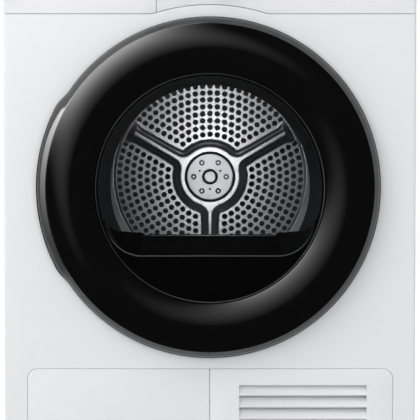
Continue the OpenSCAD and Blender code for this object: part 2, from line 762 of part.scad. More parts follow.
module control_panel() in_frame() color("whitesmoke") difference() {
    union() {
        fascia(panel_x0, half_w, false, true);
        plate(wall / 2, return_y) difference() {
            intersection() {
                seam_outline(gap + wall);
                rect([panel_x0, panel_z0], [half_w - wall, panel_z1]);
            }
            seam_outline(gap);
        }
        bar_y(dial_x, face_z, 12, wall, 14);
    }
    bar_y(dial_x, face_z, 4 + fit, -1, 15);
    bar_y(dial_x, face_z, dial_r + 1, -1, 1.6);
    for (x = [power_x, start_x]) bar_y(x, face_z, button_r + 0.4, -1, wall + 1);
    plate(-1, wall + 1) round_rect([display_x - display_w / 2, face_z - display_h / 2],
                                   [display_x + display_w / 2, face_z + display_h / 2], 4);
}

module display_window() in_frame() color("#101010") plate(0.3, wall) round_rect(
    [display_x - display_w / 2 + 0.2, face_z - display_h / 2 + 0.2],
    [display_x + display_w / 2 - 0.2, face_z + display_h / 2 - 0.2], 3.8);

module control_board() in_frame() color("seagreen") union() {
    board_half = display_w / 2 + 10;
    block([display_x - board_half, wall, face_z - 30], [display_x + board_half, wall + 1.6, face_z + 30]);
    for (x = [power_x, start_x]) block([x - 18, 12, face_z - 14], [x + 18, 13.6, face_z + 14]);
    for (x = [power_x, start_x], dx = [-16, 16])
        block([x + dx - 2, wall, face_z - 3], [x + dx + 2, 12, face_z + 3]);
    for (i = [0 : 4]) block([display_x - 60 + 26 * i, wall + 1.6, face_z - 20],
                            [display_x - 46 + 26 * i, wall + 7, face_z - 8]);
}

module program_dial() in_frame() color("whitesmoke") difference() {
    union() {
        bar_y(dial_x, face_z, dial_r, -16, 1.6 - seat);
        bar_y(dial_x, face_z, dial_r - 2, -18, -15);
        bar_y(dial_x, face_z, 4, 0, 13);
    }
    turned(dial_x, face_z) rect([0, -19], [dial_r - 5, -17]);
    block([dial_x - 1, -19, face_z + dial_r - 12], [dial_x + 1, -16, face_z + dial_r - 3]);
}

// A round push button with a stem behind the panel
module push_button(x) union() {
    bar_y(x, face_z, button_r, -button_travel - 0.5, wall + 0.6);
    bar_y(x, face_z, button_r + 1.5, wall + seat, wall + 1.6);
    bar_y(x, face_z, 3, wall, 12 - button_travel - seat);
}

module power_button() in_frame() color("silver") push_button(power_x);

module start_button() in_frame() color("silver") push_button(start_x);

// ---- door furniture on the cabinet ----

module door_lock() in_frame() color("dimgray") difference() {
    block([hook_x - 17, sheet, axis_z - 36], [hook_x + 12, 34, axis_z + 36]);
    block([hook_x - 9, 0, axis_z - 16], [hook_x + 9, 26, axis_z + 16]);
}

module hinge_bracket() in_frame() color("silver") difference() {
    union() {
        block([pin_x - 13, sheet, axis_z - lug_z - lug_h], [pin_x + 15, sheet + 2, axis_z + lug_z + lug_h]);
        for (side = [-1, 1]) translate([0, 0, axis_z + side * (lug_z + lug_h / 2) - lug_h / 2])
            linear_extrude(lug_h) union() {
            rect([pin_x - 9, sheet + 1], [pin_x + 9, pin_y]);
            translate([pin_x, pin_y]) circle(r = 9);
        }
    }
    translate([pin_x, pin_y, axis_z - 70]) cylinder(r = pin_r + fit, h = 140);
}

module front_bulkhead() in_frame() color("gray") difference() {
    union() {
        turned() union() {
            polygon([
                [collar_r, seal_y], [open_r + 10, seal_y], [open_r + 10, seal_y + collar_t],
                [collar_r + collar_t, seal_y + collar_t], [mouth_r + collar_t, drum_front],
                [mouth_r, drum_front]
            ]);
            rect([mouth_r + 2, bulk_y - collar_t], [drum_r - 6, bulk_y]);
        }
        plate(bulk_y - collar_t, bulk_y) difference() {
            rect([-inner_x, low_z1 - 14], [inner_x, seam_z + 6]);
            translate([0, axis_z]) circle(r = drum_r - 8);
        }
        for (side = [-1, 1]) {
            x = side * roller_at * sin(roller_angle);
            z = axis_z - roller_at * cos(roller_angle);
            bar_y(x, z, roller_pin_r + 5, bulk_y - 1, roller_y - seat);
            bar_y(x, z, roller_pin_r, bulk_y - 1, roller_y + roller_w + 3);
        }
    }
    block([-filter_half - 13, filter_y0 - 1, 150], [filter_half + 13, bulk_y + 20, axis_z - 100]);
    block([-22, 26, axis_z + 140], [22, 52, axis_z + 190]);
}

module felt_seals() in_frame() color("gray") union() {
    turned() rect([lip_r, bulk_y], [drum_r - 8, drum_front - seat]);
    turned() rect([felt_r0, drum_rear + 1.5], [felt_r0 + 12, drum_rear + 1.5 + felt_t]);
}

module filter_housing() in_frame() color("#202020") difference() {
    x0 = filter_half;
    plate(filter_y0, bulk_y) polygon([
        [-x0, axis_z - filter_top], [x0, axis_z - filter_top], [x0 + 10, axis_z - filter_top - 74],
        [x0 + 10, hx_z1 + 30], [-x0 + 60, hx_z1], [-x0 - 10, hx_z1], [-x0 - 10, axis_z - filter_top - 74]
    ]);
    block([-slot_half, slot_y0, axis_z - filter_top - filter_len - 2],
          [slot_half, slot_y1, axis_z - filter_top + 1]);
    block([-105, slot_y0 + 4, hx_z1 - 1], [-66, slot_y1 - 4, axis_z - filter_top - filter_len]);
}

module lint_filter() in_frame() color("#d8d8d8") {
    z1 = axis_z - filter_top - 1;
    z0 = z1 - filter_len + 1;
    x = slot_half - slip;
    y0 = slot_y0 + slip;
    y1 = slot_y1 - slip;
    difference() {
        block([-x, y0, z0], [x, y1, z1]);
        block([-x + 3, y0 + 3, z0 + 3], [x - 3, y1 - 3, z1 - 10]);
        for (i = [-1 : 1]) block([i * 58 - 26, y0 - 1, z0 + 10], [i * 58 + 26, y1 + 1, z1 - 24]);
        block([-60, y0 + 7, z1 - 9], [60, y1 - 7, z1 + 1]);
    }
}

module drum_lamp() in_frame() color("white") difference() {
    z = axis_z + collar_r;
    block([-30, 20, z - 12], [30, 58, z + 12]);
    turned() polygon([
        [0, 19], [collar_r + collar_t, seal_y + collar_t], [mouth_r + collar_t, drum_front], [0, drum_front]
    ]);
}

// ---- drum ----

module drum_shell() in_frame() color("silver") turned() union() {
    rect([drum_r - sheet, drum_front], [drum_r, drum_rear]);
    rect([lip_r, drum_front], [drum_r - sheet / 2, drum_front + sheet]);
    rect([drum_r - 18, disc_y + sheet], [drum_r - sheet / 2, drum_rear]);
    rect([lip_r, drum_front], [lip_r + sheet, drum_front + 6]);
}

// Solid form of the pressed star, with its slopes and the recess in its hub
module star_form(recess) union() {
    difference() {
        turned() polygon([
            [0, star_y], [star_hub_r, star_y], [star_hub_r + hub_slope, perf_y],
            [star_hub_r + hub_slope * (1 + sheet / star_h), perf_y + sheet], [0, perf_y + sheet]
        ]);
        bar_y(0, axis_z, recess, star_y - 1, star_y + recess_d);
    }
    intersection() {
        for (a = star_arms) translate([0, 0, axis_z]) rotate([0, -a, 0]) slab(star_hub_r - 4, perf_r)
            polygon([
                [star_y, -arm_top_w / 2], [star_y, arm_top_w / 2],
                [perf_y + sheet, arm_top_w / 2 + arm_slope * (1 + sheet / star_h)],
                [perf_y + sheet, -arm_top_w / 2 - arm_slope * (1 + sheet / star_h)]
            ]);
        turned() polygon([
            [0, star_y - 1], [perf_r - 10, star_y - 1], [perf_r - 10, star_y],
            [perf_r - 2, perf_y + sheet], [0, perf_y + sheet]
        ]);
    }
}

// Half of the sector angle that the perforations may fill at one radius
function free_half(r) = 60 - asin((arm_top_w / 2 + arm_slope + arm_margin + hole_r) / r);

// How many perforations stand on each side of the sector's middle line
function holes_in(r) = floor(free_half(r) / hole_step(r));
function hole_step(r) = hole_gap * 180 / (PI * r);

module perforations() for (k = [0 : rings - 1], sector = [90, 210, 330]) {
    r = first_ring + k * hole_pitch;
    for (i = [-holes_in(r) : holes_in(r)])
        rotate(sector + i * hole_step(r)) translate([r, 0]) circle(r = hole_r, $fn = 24);
}

module drum_back() in_frame() color("lightgray") difference() {
    union() {
        plate(perf_y, perf_y + sheet) translate([0, axis_z]) difference() {
            circle(r = perf_r);
            perforations();
        }
        turned() polygon([
            [perf_r - 0.5, perf_y], [perf_r, perf_y], [perf_r + 2.8, perf_y + 2], [perf_r + 4.4, perf_y + 2],
            [perf_r + 6.6, disc_y], [drum_r - sheet, disc_y], [drum_r - sheet, disc_y + sheet],
            [perf_r + 7.2, disc_y + sheet], [perf_r + 5, perf_y + 2 + sheet],
            [perf_r + 2.2, perf_y + 2 + sheet], [perf_r - 0.5, perf_y + sheet]
        ]);
        star_form(recess_r);
    }
    translate([0, sheet, 0]) star_form(recess_r + sheet);
}

module drum_hub() in_frame() color("silver") union() {
    y1 = star_y + recess_d;
    difference() {
        union() {
            bar_y(0, axis_z, cap_r, y1 - 4, y1);
            bar_y(0, axis_z, 10.3, y1 - 6, y1 - 3);
            for (a = [0 : 60 : 300]) bar_y(27.5 * cos(a), axis_z + 27.5 * sin(a), 3.8, y1 - 5.4, y1 - 3);
        }
        for (a = star_arms) bar_y(20 * cos(a), axis_z + 20 * sin(a), 1, y1 - 5, y1 - 2);
    }
}

module drum_shaft() in_frame() color("silver") {
    y0 = star_y + recess_d + sheet;
    union() {
        bar_y(0, axis_z, cap_r, y0, y0 + 5);
        bar_y(0, axis_z, shaft_r, y0 + 4, back_y + sheet + 8);
    }
}

module drum_lifters() in_frame() color("silver") for (a = [90, 210, 330])
    translate([0, 0, axis_z]) rotate([0, -a, 0]) {
        r1 = drum_r - sheet;
        intersection() {
            slab(r1 - lifter_h, r1 + 1) polygon([
                [drum_front + 40, -20], [drum_rear - 26, -20], [drum_rear - 26, 20], [drum_front + 40, 20]
            ]);
            plate(drum_front + 30, drum_rear - 20) polygon([
                [r1 - lifter_h, -9], [r1 + 1, -26], [r1 + 1, 26], [r1 - lifter_h, 9]
            ]);
            rotate([-90, 0, 0]) cylinder(r = r1, h = 600);
        }
    }

// A support roller on its pin
module roller(side) turned(side * roller_at * sin(roller_angle), axis_z - roller_at * cos(roller_angle))
    difference() {
        rect([roller_pin_r + fit, roller_y], [roller_r, roller_y + roller_w]);
        rect([roller_pin_r + 4, roller_y - 1], [roller_r - 3, roller_y + 5]);
        rect([roller_pin_r + 4, roller_y + roller_w - 5], [roller_r - 3, roller_y + roller_w + 1]);
    }

module roller_left() in_frame() color("black") roller(-1);

module roller_right() in_frame() color("black") roller(1);

// ---- door ----

// Section of the ring's outer surface, filled to the rear
module ring_section(inset) {
    rear = -door_gap + sign(inset);
    intersection() {
        translate([crest_r, front_arc_r - door_out]) circle(r = front_arc_r - inset, $fn = 256);
        rect([crest_r, -door_out - 1], [crease_r - inset, rear]);
    }
    intersection() {
        translate([crest_r, inner_arc_r - door_out]) circle(r = inner_arc_r - inset, $fn = 256);
        rect([ring_bore + inset, -door_out - 1], [crest_r, rear]);
    }
}

module door_ring() in_frame() color("#141414") difference() {
    union() {
        turned() union() {
            ring_section(0);
            polygon([
                [crease_r - 1, -rim_out + rim_step], [crease_r, -rim_out + rim_step],
                [door_r, -door_gap - rim_land],
                [door_r, -door_gap], [crease_r - 1, -door_gap]
            ]);
        }
        intersection() {
            turned(-grip_shift) polygon([
                [grip_r - 16, -rim_out + 1], [grip_r - 14.7, -rim_out + 1], [grip_r, -door_gap - rim_land],
                [grip_r, -door_gap], [grip_r - 16, -door_gap]
            ]);
            block([-door_r - 20, -rim_out, axis_z - grip_r], [-150, 0, axis_z + grip_r]);
        }
    }
    turned() union() {
        ring_section(wall);
        rect([ring_bore - 1, frame_y - frame_t], [frame_r + seat, 0]);
        polygon([
            [crease_r - wall - 1, -rim_out + wall + 4], [crease_r - wall, -rim_out + wall + 4],
            [frame_r + seat, frame_y - frame_t], [crease_r - wall - 1, frame_y - frame_t]
        ]);
    }
    for (side = [-1, 1]) block([200, frame_y - 1, axis_z + side * arm_z - 6],
                               [pin_x - neck_r + 8, 0, axis_z + side * arm_z + 6]);
}

module door_glass() in_frame() color("#30353880") turned() polygon([
    [0, glass_y], [glass_r - 1, glass_y], [glass_r, glass_y + 1], [glass_r, glass_y + glass_t],
    [0, glass_y + glass_t]
]);

// The clear window in the mask: a circle with a straight lower edge and round corners
module window_outline() {
    corner_x = sqrt(pow(window_r - window_corner_r, 2) - pow(window_drop - window_corner_r, 2));
    tip = window_r / (window_r - window_corner_r);
    union() {
        difference() {
            circle(r = window_r);
            rect([-window_r, -window_r - 1], [window_r, -window_drop + window_corner_r]);
        }
        polygon([
            [-corner_x * tip, -(window_drop - window_corner_r) * tip], [0, 0],
            [corner_x * tip, -(window_drop - window_corner_r) * tip],
            [corner_x, -window_drop + window_corner_r], [corner_x, -window_drop],
            [-corner_x, -window_drop], [-corner_x, -window_drop + window_corner_r]
        ]);
        for (side = [-1, 1]) translate([side * corner_x, -window_drop + window_corner_r])
            circle(r = window_corner_r);
    }
}

module window_mask() in_frame() color("black") plate(mask_y, mask_y + mask_t)
    translate([0, axis_z]) difference() {
    circle(r = glass_r);
    window_outline();
}

module door_frame() in_frame() color("dimgray") turned() union() {
    rect([window_r + 1, frame_y - frame_t], [frame_r, frame_y]);
    rect([window_r + 1, mask_y + mask_t], [glass_r, frame_y]);
    rect([frame_r - 12, frame_y - 10], [frame_r - 10, frame_y]);
}

module door_bowl() in_frame() color("#90a0a880") turned() difference() {
    polygon([
        [0, bowl_depth], [bowl_floor_r - 8, bowl_depth], [bowl_floor_r, bowl_depth - 6],
        [bowl_r + glass_t - 1, frame_y + 3.5], [gasket_r0 - 3, frame_y + 3.5],
        [gasket_r0 - 3, frame_y], [0, frame_y]
    ]);
    polygon([
        [-1, bowl_depth - glass_t], [bowl_floor_r - 9.5, bowl_depth - glass_t],
        [bowl_floor_r - glass_t - 1, bowl_depth - 8], [bowl_r - 1, frame_y + 2],
        [bowl_r - 1, frame_y - 1], [-1, frame_y - 1]
    ]);
}

module door_gasket() in_frame() color("#303030") turned() difference() {
    polygon([
        [gasket_r0 - 1.5, frame_y], [gasket_r1, frame_y], [gasket_r1, seal_y - 4],
        [gasket_r1 - 3, seal_y - seat],
        [gasket_r0 + 1, seal_y - seat], [gasket_r0 - 1.5, seal_y - 5]
    ]);
    rect([gasket_r0 + 1.5, frame_y + 3], [gasket_r1 - 2.5, seal_y - 6]);
}

// Flat outline of one goose neck, seen from above
module neck_outline() union() {
    translate([pin_x, pin_y]) {
        intersection() {
            difference() {
                circle(r = neck_r + neck_w / 2);
                circle(r = neck_r - neck_w / 2);
            }
            polygon([
                [0, 0], 90 * [cos(neck_start), sin(neck_start)], 90 * [cos(115), sin(115)],
                90 * [cos(160), sin(160)], 90 * [cos(neck_end), sin(neck_end)]
            ]);
        }
        rotate(neck_start) rect([0, -neck_w], [neck_r, 0.01]);
        circle(r = 7.5);
    }
}

module hinge_leaf() in_frame() color("silver") difference() {
    union() {
        for (side = [-1, 1]) translate([0, 0, axis_z + side * arm_z - arm_h / 2])
            linear_extrude(arm_h) union() {
            neck_outline();
            rect([205, frame_y], [pin_x - neck_r * cos(25) + 1, frame_y + 3]);
        }
        block([205, frame_y, axis_z - arm_z - arm_h / 2], [232, frame_y + 3, axis_z + arm_z + arm_h / 2]);
    }
    translate([pin_x, pin_y, axis_z - 80]) cylinder(r = pin_r, h = 160);
}

module hinge_pin() in_frame() color("silver") translate([pin_x, pin_y, axis_z - lug_z - lug_h - 2])
    cylinder(r = pin_r, h = 2 * (lug_z + lug_h) + 4);

module door_hook() in_frame() color("dimgray") union() {
    block([hook_x - 4, frame_y, axis_z - 10], [hook_x + 4, 18, axis_z + 10]);
    block([hook_x - 8, 12, axis_z - 10], [hook_x - 3, 18, axis_z + 10]);
    block([hook_x - 6, frame_y, axis_z - 16], [hook_x + 6, frame_y + 4, axis_z + 16]);
}

worktop();
side_left();
side_right();
front_panel();
control_panel();
display_window();
control_board();
rear_panel();
duct_cover();
bearing_bracket();
base_tray();
levelling_feet();
hx_cover();
hx_inner_cover();
inner_latch_left();
inner_latch_right();
vent_panel();
hx_housing();
evaporator();
condenser();
compressor();
refrigerant_pipes();
motor();
motor_shaft();
blower_wheel();
fan_scroll();
idler_arm();
idler_pulley();
drive_belt();
drain_pump();
tank_bay();
water_tank();
tank_lid();
tank_front();
door_lock();
hinge_bracket();
filter_housing();
lint_filter();
front_bulkhead();
felt_seals();
roller_left();
roller_right();
drum_lamp();
drum_shell();
drum_back();
drum_hub();
drum_shaft();
drum_lifters();
door_ring();
door_glass();
window_mask();
door_frame();
door_bowl();
door_gasket();
hinge_leaf();
hinge_pin();
door_hook();
program_dial();
power_button();
start_button();
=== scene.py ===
"""A front-loading clothes dryer, dressed over its working parts."""
import math

import bmesh
import bpy
from mathutils import Matrix, Vector


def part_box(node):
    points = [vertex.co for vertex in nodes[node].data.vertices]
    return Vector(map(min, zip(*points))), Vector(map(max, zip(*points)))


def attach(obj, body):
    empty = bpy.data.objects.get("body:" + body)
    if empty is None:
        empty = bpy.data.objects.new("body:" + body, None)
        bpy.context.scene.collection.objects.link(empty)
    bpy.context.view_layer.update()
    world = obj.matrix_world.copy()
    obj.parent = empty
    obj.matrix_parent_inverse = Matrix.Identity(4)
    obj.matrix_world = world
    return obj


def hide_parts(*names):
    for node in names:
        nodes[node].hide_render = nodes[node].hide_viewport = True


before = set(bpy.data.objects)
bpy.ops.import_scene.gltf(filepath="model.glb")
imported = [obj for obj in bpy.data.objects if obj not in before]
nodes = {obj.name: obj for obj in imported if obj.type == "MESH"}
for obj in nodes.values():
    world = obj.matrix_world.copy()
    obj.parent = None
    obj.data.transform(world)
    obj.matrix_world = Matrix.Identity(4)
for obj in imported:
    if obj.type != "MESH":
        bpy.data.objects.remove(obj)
# The CAD's plain materials go, and every piece gets its own finish in its section below.
for imported in list(bpy.data.materials):
    bpy.data.materials.remove(imported)
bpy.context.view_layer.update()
mm = 0.001

# ---- Camera and studio ----
# The machine stands on a pale seamless floor and is seen square on from a little above its
# middle with a long lens, close enough that the door's front fills the view.
front_low, front_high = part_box("front_panel")
glass_low, glass_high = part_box("door_glass")
door_axis = (glass_low.z + glass_high.z) / 2
panel_width = front_high.x - front_low.x
span_in_widths = 1.0206
below_axis = 32.8 * mm
view_span = panel_width * span_in_widths
view_middle = Vector((0, front_low.y, door_axis - below_axis))
view_distance = 3.5
view_drop = math.radians(2.6)

lens = bpy.data.cameras.new("camera")
lens.sensor_width = 36
lens.lens = lens.sensor_width * view_distance / view_span
camera = bpy.data.objects.new("camera", lens)
bpy.context.collection.objects.link(camera)
toward = Vector((0, math.cos(view_drop), -math.sin(view_drop)))
camera.location = view_middle - toward * view_distance
camera.rotation_euler = toward.to_track_quat("-Z", "Y").to_euler()
bpy.context.scene.camera = camera
bpy.context.scene.view_settings.view_transform = "Standard"


class Wire:
    """A value inside a finish. Sums and products on it lay the Math nodes that work them out."""

    def __init__(self, finish, socket):
        self.finish = finish
        self.socket = socket

    def maths(self, operation, *values):
        return self.finish.node("ShaderNodeMath", {"operation": operation}, *values)

    def __add__(self, other):
        return self.maths("ADD", self, other)

    __radd__ = __add__

    def __sub__(self, other):
        return self.maths("SUBTRACT", self, other)

    def __rsub__(self, other):
        return self.maths("SUBTRACT", other, self)

    def __mul__(self, other):
        return self.maths("MULTIPLY", self, other)

    def __truediv__(self, other):
        return self.maths("DIVIDE", self, other)

    def __pow__(self, other):
        return self.maths("POWER", self, other)

    def size(self):
        return self.maths("ABSOLUTE", self)

    def clamped(self):
        return self.maths("MINIMUM", self.maths("MAXIMUM", self, 0.0), 1.0)

    def step(self, low, high):
        """0 below low, 1 above high, and smooth between them."""
        smooth = {"interpolation_type": "SMOOTHSTEP"}
        return self.finish.node("ShaderNodeMapRange", smooth, self, low, high, 0.0, 1.0)

    def sine(self):
        return self.maths("SINE", self)

    def zigzag(self, width):
        """Rises from 0 to width and falls back to 0, again and again."""
        return self.maths("PINGPONG", self, width)


class Finish:
    """A material, or the studio's world, whose nodes are laid by calls."""

    def __init__(self, name, holder=None):
        self.holder = holder or bpy.data.materials.new(name)
        self.holder.use_nodes = True
        self.tree = self.holder.node_tree
        self.shader = self.tree.nodes.get("Principled BSDF")

    def feed(self, socket, value):
        if isinstance(value, Wire):
            self.tree.links.new(value.socket, socket)
        elif socket.type == "RGBA" and len(value) == 3:
            socket.default_value = (*value, 1)
        else:
            socket.default_value = value

    def node(self, kind, settings=None, *values, out=0, **named):
        made = self.tree.nodes.new(kind)
        for key, setting in (settings or {}).items():
            setattr(made, key, setting)
        for socket, value in zip(made.inputs, values):
            self.feed(socket, value)
        for key, value in named.items():
            self.feed(made.inputs[key.replace("_", " ")], value)
        return Wire(self, made.outputs[out])

    def shade(self, **values):
        for key, value in values.items():
            self.feed(self.shader.inputs[key.replace("_", " ")], value)
        return self

    def place(self):
        return self.node("ShaderNodeTexCoord", out="Object")

    def along(self, x, y, z, at=None):
        """How far a point of the piece lies along a direction, in metres."""
        dot = {"operation": "DOT_PRODUCT"}
        return self.node("ShaderNodeVectorMath", dot, at or self.place(), (x, y, z), out="Value")

    def noise(self, scale, detail=3.0, at=None):
        return self.node("ShaderNodeTexNoise", None, out="Fac", Vector=at or self.place(),
                         Scale=scale, Detail=detail, Roughness=0.55)

    def stretched(self, x, y, z):
        """The piece's own place, stretched along each axis, for grain that runs one way."""
        return self.node("ShaderNodeMapping", None, self.place(), Scale=(x, y, z))

    def blend(self, amount, first, second):
        mixed = self.tree.nodes.new("ShaderNodeMix")
        mixed.data_type = "RGBA"
        self.feed(mixed.inputs["Factor"], amount)
        self.feed(mixed.inputs[6], first)
        self.feed(mixed.inputs[7], second)
        return Wire(self, mixed.outputs[2])

    def bump(self, height, distance):
        return self.node("ShaderNodeBump", None, out="Normal", Strength=1.0, Distance=distance,
                         Height=height)

    def rays(self):
        """Whether a point is met by a camera ray, by a glossy ray, and by a transmission ray."""
        path = self.tree.nodes.new("ShaderNodeLightPath")
        kinds = ("Is Camera Ray", "Is Glossy Ray", "Is Transmission Ray")
        return [Wire(self, path.outputs[kind]) for kind in kinds]

    def end_with(self, wire):
        output = next(n for n in self.tree.nodes if n.type in ("OUTPUT_MATERIAL", "OUTPUT_WORLD"))
        self.tree.links.new(wire.socket, output.inputs["Surface"])
        return self


def studio_floor():
    """A wide pale sheet, whose own faint glow keeps it white where the machine shades it."""
    sheet = bmesh.new()
    bmesh.ops.create_grid(sheet, x_segments=1, y_segments=1, size=9)
    mesh = bpy.data.meshes.new("studio_floor")
    sheet.to_mesh(mesh)
    sheet.free()
    floor = bpy.data.objects.new("studio_floor", mesh)
    bpy.context.collection.objects.link(floor)
    floor.visible_glossy = False
    ground = Finish("studio_floor").shade(Base_Color=(0.86, 0.86, 0.865), Roughness=0.8)
    lit = Wire(ground, ground.shader.outputs["BSDF"])
    glow = ground.node("ShaderNodeEmission", None, (1, 1, 1), 1.2, out="Emission")
    glow_share = sum(ground.rays()).clamped() * 0.6
    ground.end_with(ground.node("ShaderNodeMixShader", None, glow_share, lit, glow))
    mesh.materials.append(ground.holder)


studio_floor()

# The studio's air: a plain even light on what is matt, white to the eye, white behind the
# machine to gloss, and dark before it but for one long soft panel up on the left.
sky = Finish("studio", bpy.data.worlds.new("studio"))
bpy.context.scene.world = sky.holder
way = sky.node("ShaderNodeTexCoord", out="Generated")


def toward_way(x, y, z):
    return sky.along(x, y, z, at=way)


# The soft panel, brightest in its middle, which is up and to the left at this angle.
panel_angle = math.radians(131)
toward_panel = toward_way(math.cos(panel_angle), 0, math.sin(panel_angle)).clamped()
across_panel = toward_way(-math.sin(panel_angle), 0, math.cos(panel_angle)).size()
panel_level = toward_panel * 1.9 + toward_panel ** 4.0 * 5.4
panel_glow = panel_level * (1 - across_panel.step(0.2, 0.72))

# A narrow bright strip on the panel's side, a little behind the machine, lights rims and edges.
behind = toward_way(0, 1, 0)
strip = 1 - (behind - 0.16).size().step(0.06, 0.17)
strip_glow = strip * toward_panel ** 3.0 * 11

# The white behind the machine is stronger above, below, and at the lower right.
down_right = toward_way(0.7, 0, -0.7).clamped()
back_level = 0.22 + toward_way(0, 0, 1).size() * 0.5 + down_right ** 2.0 * 0.9
back_glow = behind.step(0.05, 0.3) * back_level
gloss_level = 0.04 + panel_glow + strip_glow + back_glow
seen, glossed, passed = sky.rays()
even = sky.node("ShaderNodeBackground", None, (0.965, 0.98, 1.0), 0.62, out="Background")
gloss_air = sky.node("ShaderNodeBackground", None, (1, 1, 1), gloss_level, out="Background")
white_air = sky.node("ShaderNodeBackground", None, (1, 1, 1), 1.0, out="Background")
to_gloss = sky.node("ShaderNodeMixShader", None, glossed, even, gloss_air)
to_eye = (seen + passed).clamped()
sky.end_with(sky.node("ShaderNodeMixShader", None, to_eye, to_gloss, white_air))


def softbox(name, place, aim, width, height, power, spread=180):
    """A soft lamp in metres, watts, and degrees of spread, which is out of sight itself."""
    light = bpy.data.lights.new(name, "AREA")
    light.spread = math.radians(spread)
    light.shape = "RECTANGLE"
    light.size = width
    light.size_y = height
    light.energy = power
    lamp = bpy.data.objects.new(name, light)
    bpy.context.collection.objects.link(lamp)
    lamp.location = place
    lamp.rotation_euler = (Vector(aim) - Vector(place)).to_track_quat("-Z", "Y").to_euler()
    lamp.visible_camera = False
    lamp.visible_glossy = False
    return lamp


softbox("key_upper_left", (-2.2, -2.9, 2.3), (-0.1, -0.3, 0.6), 2.6, 2.2, 40)
softbox("wash_upper_left", (-0.75, -0.95, 1.5), (-0.2, -0.28, 0.85), 0.5, 0.5, 3.0)
softbox("fill_front", (1.2, -4.0, 1.1), (0, -0.3, 0.4), 3.0, 2.2, 22)
softbox("fill_rear", (1.8, 3.2, 2.2), (0, 0.2, 0.5), 2.4, 1.8, 40)

# ---- Base ----
# A moulded tray of glass-filled polypropylene carries the heat pump and the motor, and stands
# on four screwed feet with a rubber pad under each.


sharp_degrees = 32


def crease(node, degrees=sharp_degrees):
    """Keeps a crease in the smooth shading where faces meet at more than an angle."""
    split = node.modifiers.new("sharp_edges", "EDGE_SPLIT")
    split.split_angle = math.radians(degrees)
    split.use_edge_sharp = False


def dress(finish, *names, rounded=0.0):
    """Gives CAD pieces a finish, smooth shading between sharp edges, and rounded edges if asked."""
    for name in names:
        node = nodes[name]
        node.data.materials.clear()
        node.data.materials.append(finish.holder)
        node.data.shade_smooth()
        weld = node.modifiers.new("weld", "WELD")
        weld.merge_threshold = 0.002 * mm
        if rounded:
            edge = node.modifiers.new("rounded", "BEVEL")
            edge.width = rounded
            edge.segments = 2
            edge.limit_method = "ANGLE"
            edge.angle_limit = math.radians(sharp_degrees)
            edge.use_clamp_overlap = True
        crease(node)


def grained(finish, roughness, grain, depth=0.03 * mm):
    """The eroded grain of a mould, on a finish of any colour."""
    fine = finish.noise(grain, 2)
    return finish.shade(Roughness=roughness + (fine - 0.5) * 0.12, Normal=finish.bump(fine, depth))


def moulded(name, colour, roughness, grain, depth=0.03 * mm, tint=0.08):
    """Moulded plastic: an eroded grain, and a colour that drifts a little over the surface."""
    finish = Finish(name)
    darker = tuple(c * (1 - tint) for c in colour)
    finish.shade(Base_Color=finish.blend(finish.noise(7, 2), colour, darker))
    return grained(finish, roughness, grain, depth)


tray_plastic = moulded("base_grey", (0.055, 0.057, 0.06), 0.55, 900, 0.05 * mm)
dress(tray_plastic, "base_tray", rounded=0.5 * mm)
foot_rubber = moulded("foot_black", (0.018, 0.018, 0.019), 0.62, 1400, 0.04 * mm)
dress(foot_rubber, "levelling_feet", rounded=0.4 * mm)

# ---- Cabinet ----
# The sides and the front are pressed from steel sheet in white enamel, and the rear is bare
# galvanised sheet with a grey moulded air duct over it. The worktop is a chipboard slab in a hard
# laminate with a fine speckle.


def enamel(name, colour, roughness, ripple=0.012 * mm):
    """Baked enamel under a thin clear skin, with a fine ripple and a slow drift of its colour."""
    finish = Finish(name)
    darker = tuple(c * 0.985 for c in colour)
    skin = finish.noise(520, 2)
    return finish.shade(Base_Color=finish.blend(finish.noise(3.1, 2), colour, darker),
                        Roughness=roughness + (skin - 0.5) * 0.08,
                        Normal=finish.bump(skin, ripple), Coat_Weight=0.25, Coat_Roughness=0.2)


cabinet_enamel = enamel("cabinet_white", (0.805, 0.805, 0.812), 0.42)
dress(cabinet_enamel, "side_left", "side_right", "front_panel")

laminate = Finish("worktop_white")
speckle = laminate.noise(1500, 1)
laminate_tone = laminate.blend(speckle.step(0.35, 0.7), (0.80, 0.803, 0.815), (0.77, 0.773, 0.785))
laminate.shade(Base_Color=laminate_tone, Roughness=0.5, Normal=laminate.bump(speckle, 0.02 * mm))
dress(laminate, "worktop", rounded=1.6 * mm)

zinc = Finish("galvanised")
crystals = zinc.node("ShaderNodeTexVoronoi", {"feature": "F1"}, out="Color", Scale=140.0,
                     Vector=zinc.place())
crystal = zinc.node("ShaderNodeSeparateColor", None, crystals, out="Red")
zinc.shade(Base_Color=zinc.blend(crystal, (0.52, 0.54, 0.56), (0.66, 0.68, 0.70)), Metallic=1.0,
           Roughness=0.34 + crystal * 0.16)
dress(zinc, "rear_panel", "bearing_bracket")

duct_plastic = moulded("duct_grey", (0.20, 0.205, 0.21), 0.5, 700)
dress(duct_plastic, "duct_cover", rounded=0.6 * mm)


def bare_metal(name, colour, roughness, marks=(700, 40, 700), spread=0.14, tarnish=0.12):
    """Bare metal whose fine marks run one way, with a slow drift of its colour."""
    finish = Finish(name)
    lines = finish.noise(1.0, 2, at=finish.stretched(*marks))
    darker = tuple(c * (1 - tarnish) for c in colour)
    return finish.shade(Base_Color=finish.blend(finish.noise(11, 2), colour, darker), Metallic=1.0,
                        Roughness=roughness + (lines - 0.5) * spread,
                        Normal=finish.bump(lines, 0.004 * mm))


def verts_in(geom):
    return [part for part in geom if isinstance(part, bmesh.types.BMVert)]


def edges_in(geom):
    return [part for part in geom if isinstance(part, bmesh.types.BMEdge)]


def outward(mesh):
    """Turns every face of a mesh to its outside."""
    bmesh.ops.recalc_face_normals(mesh, faces=mesh.faces)


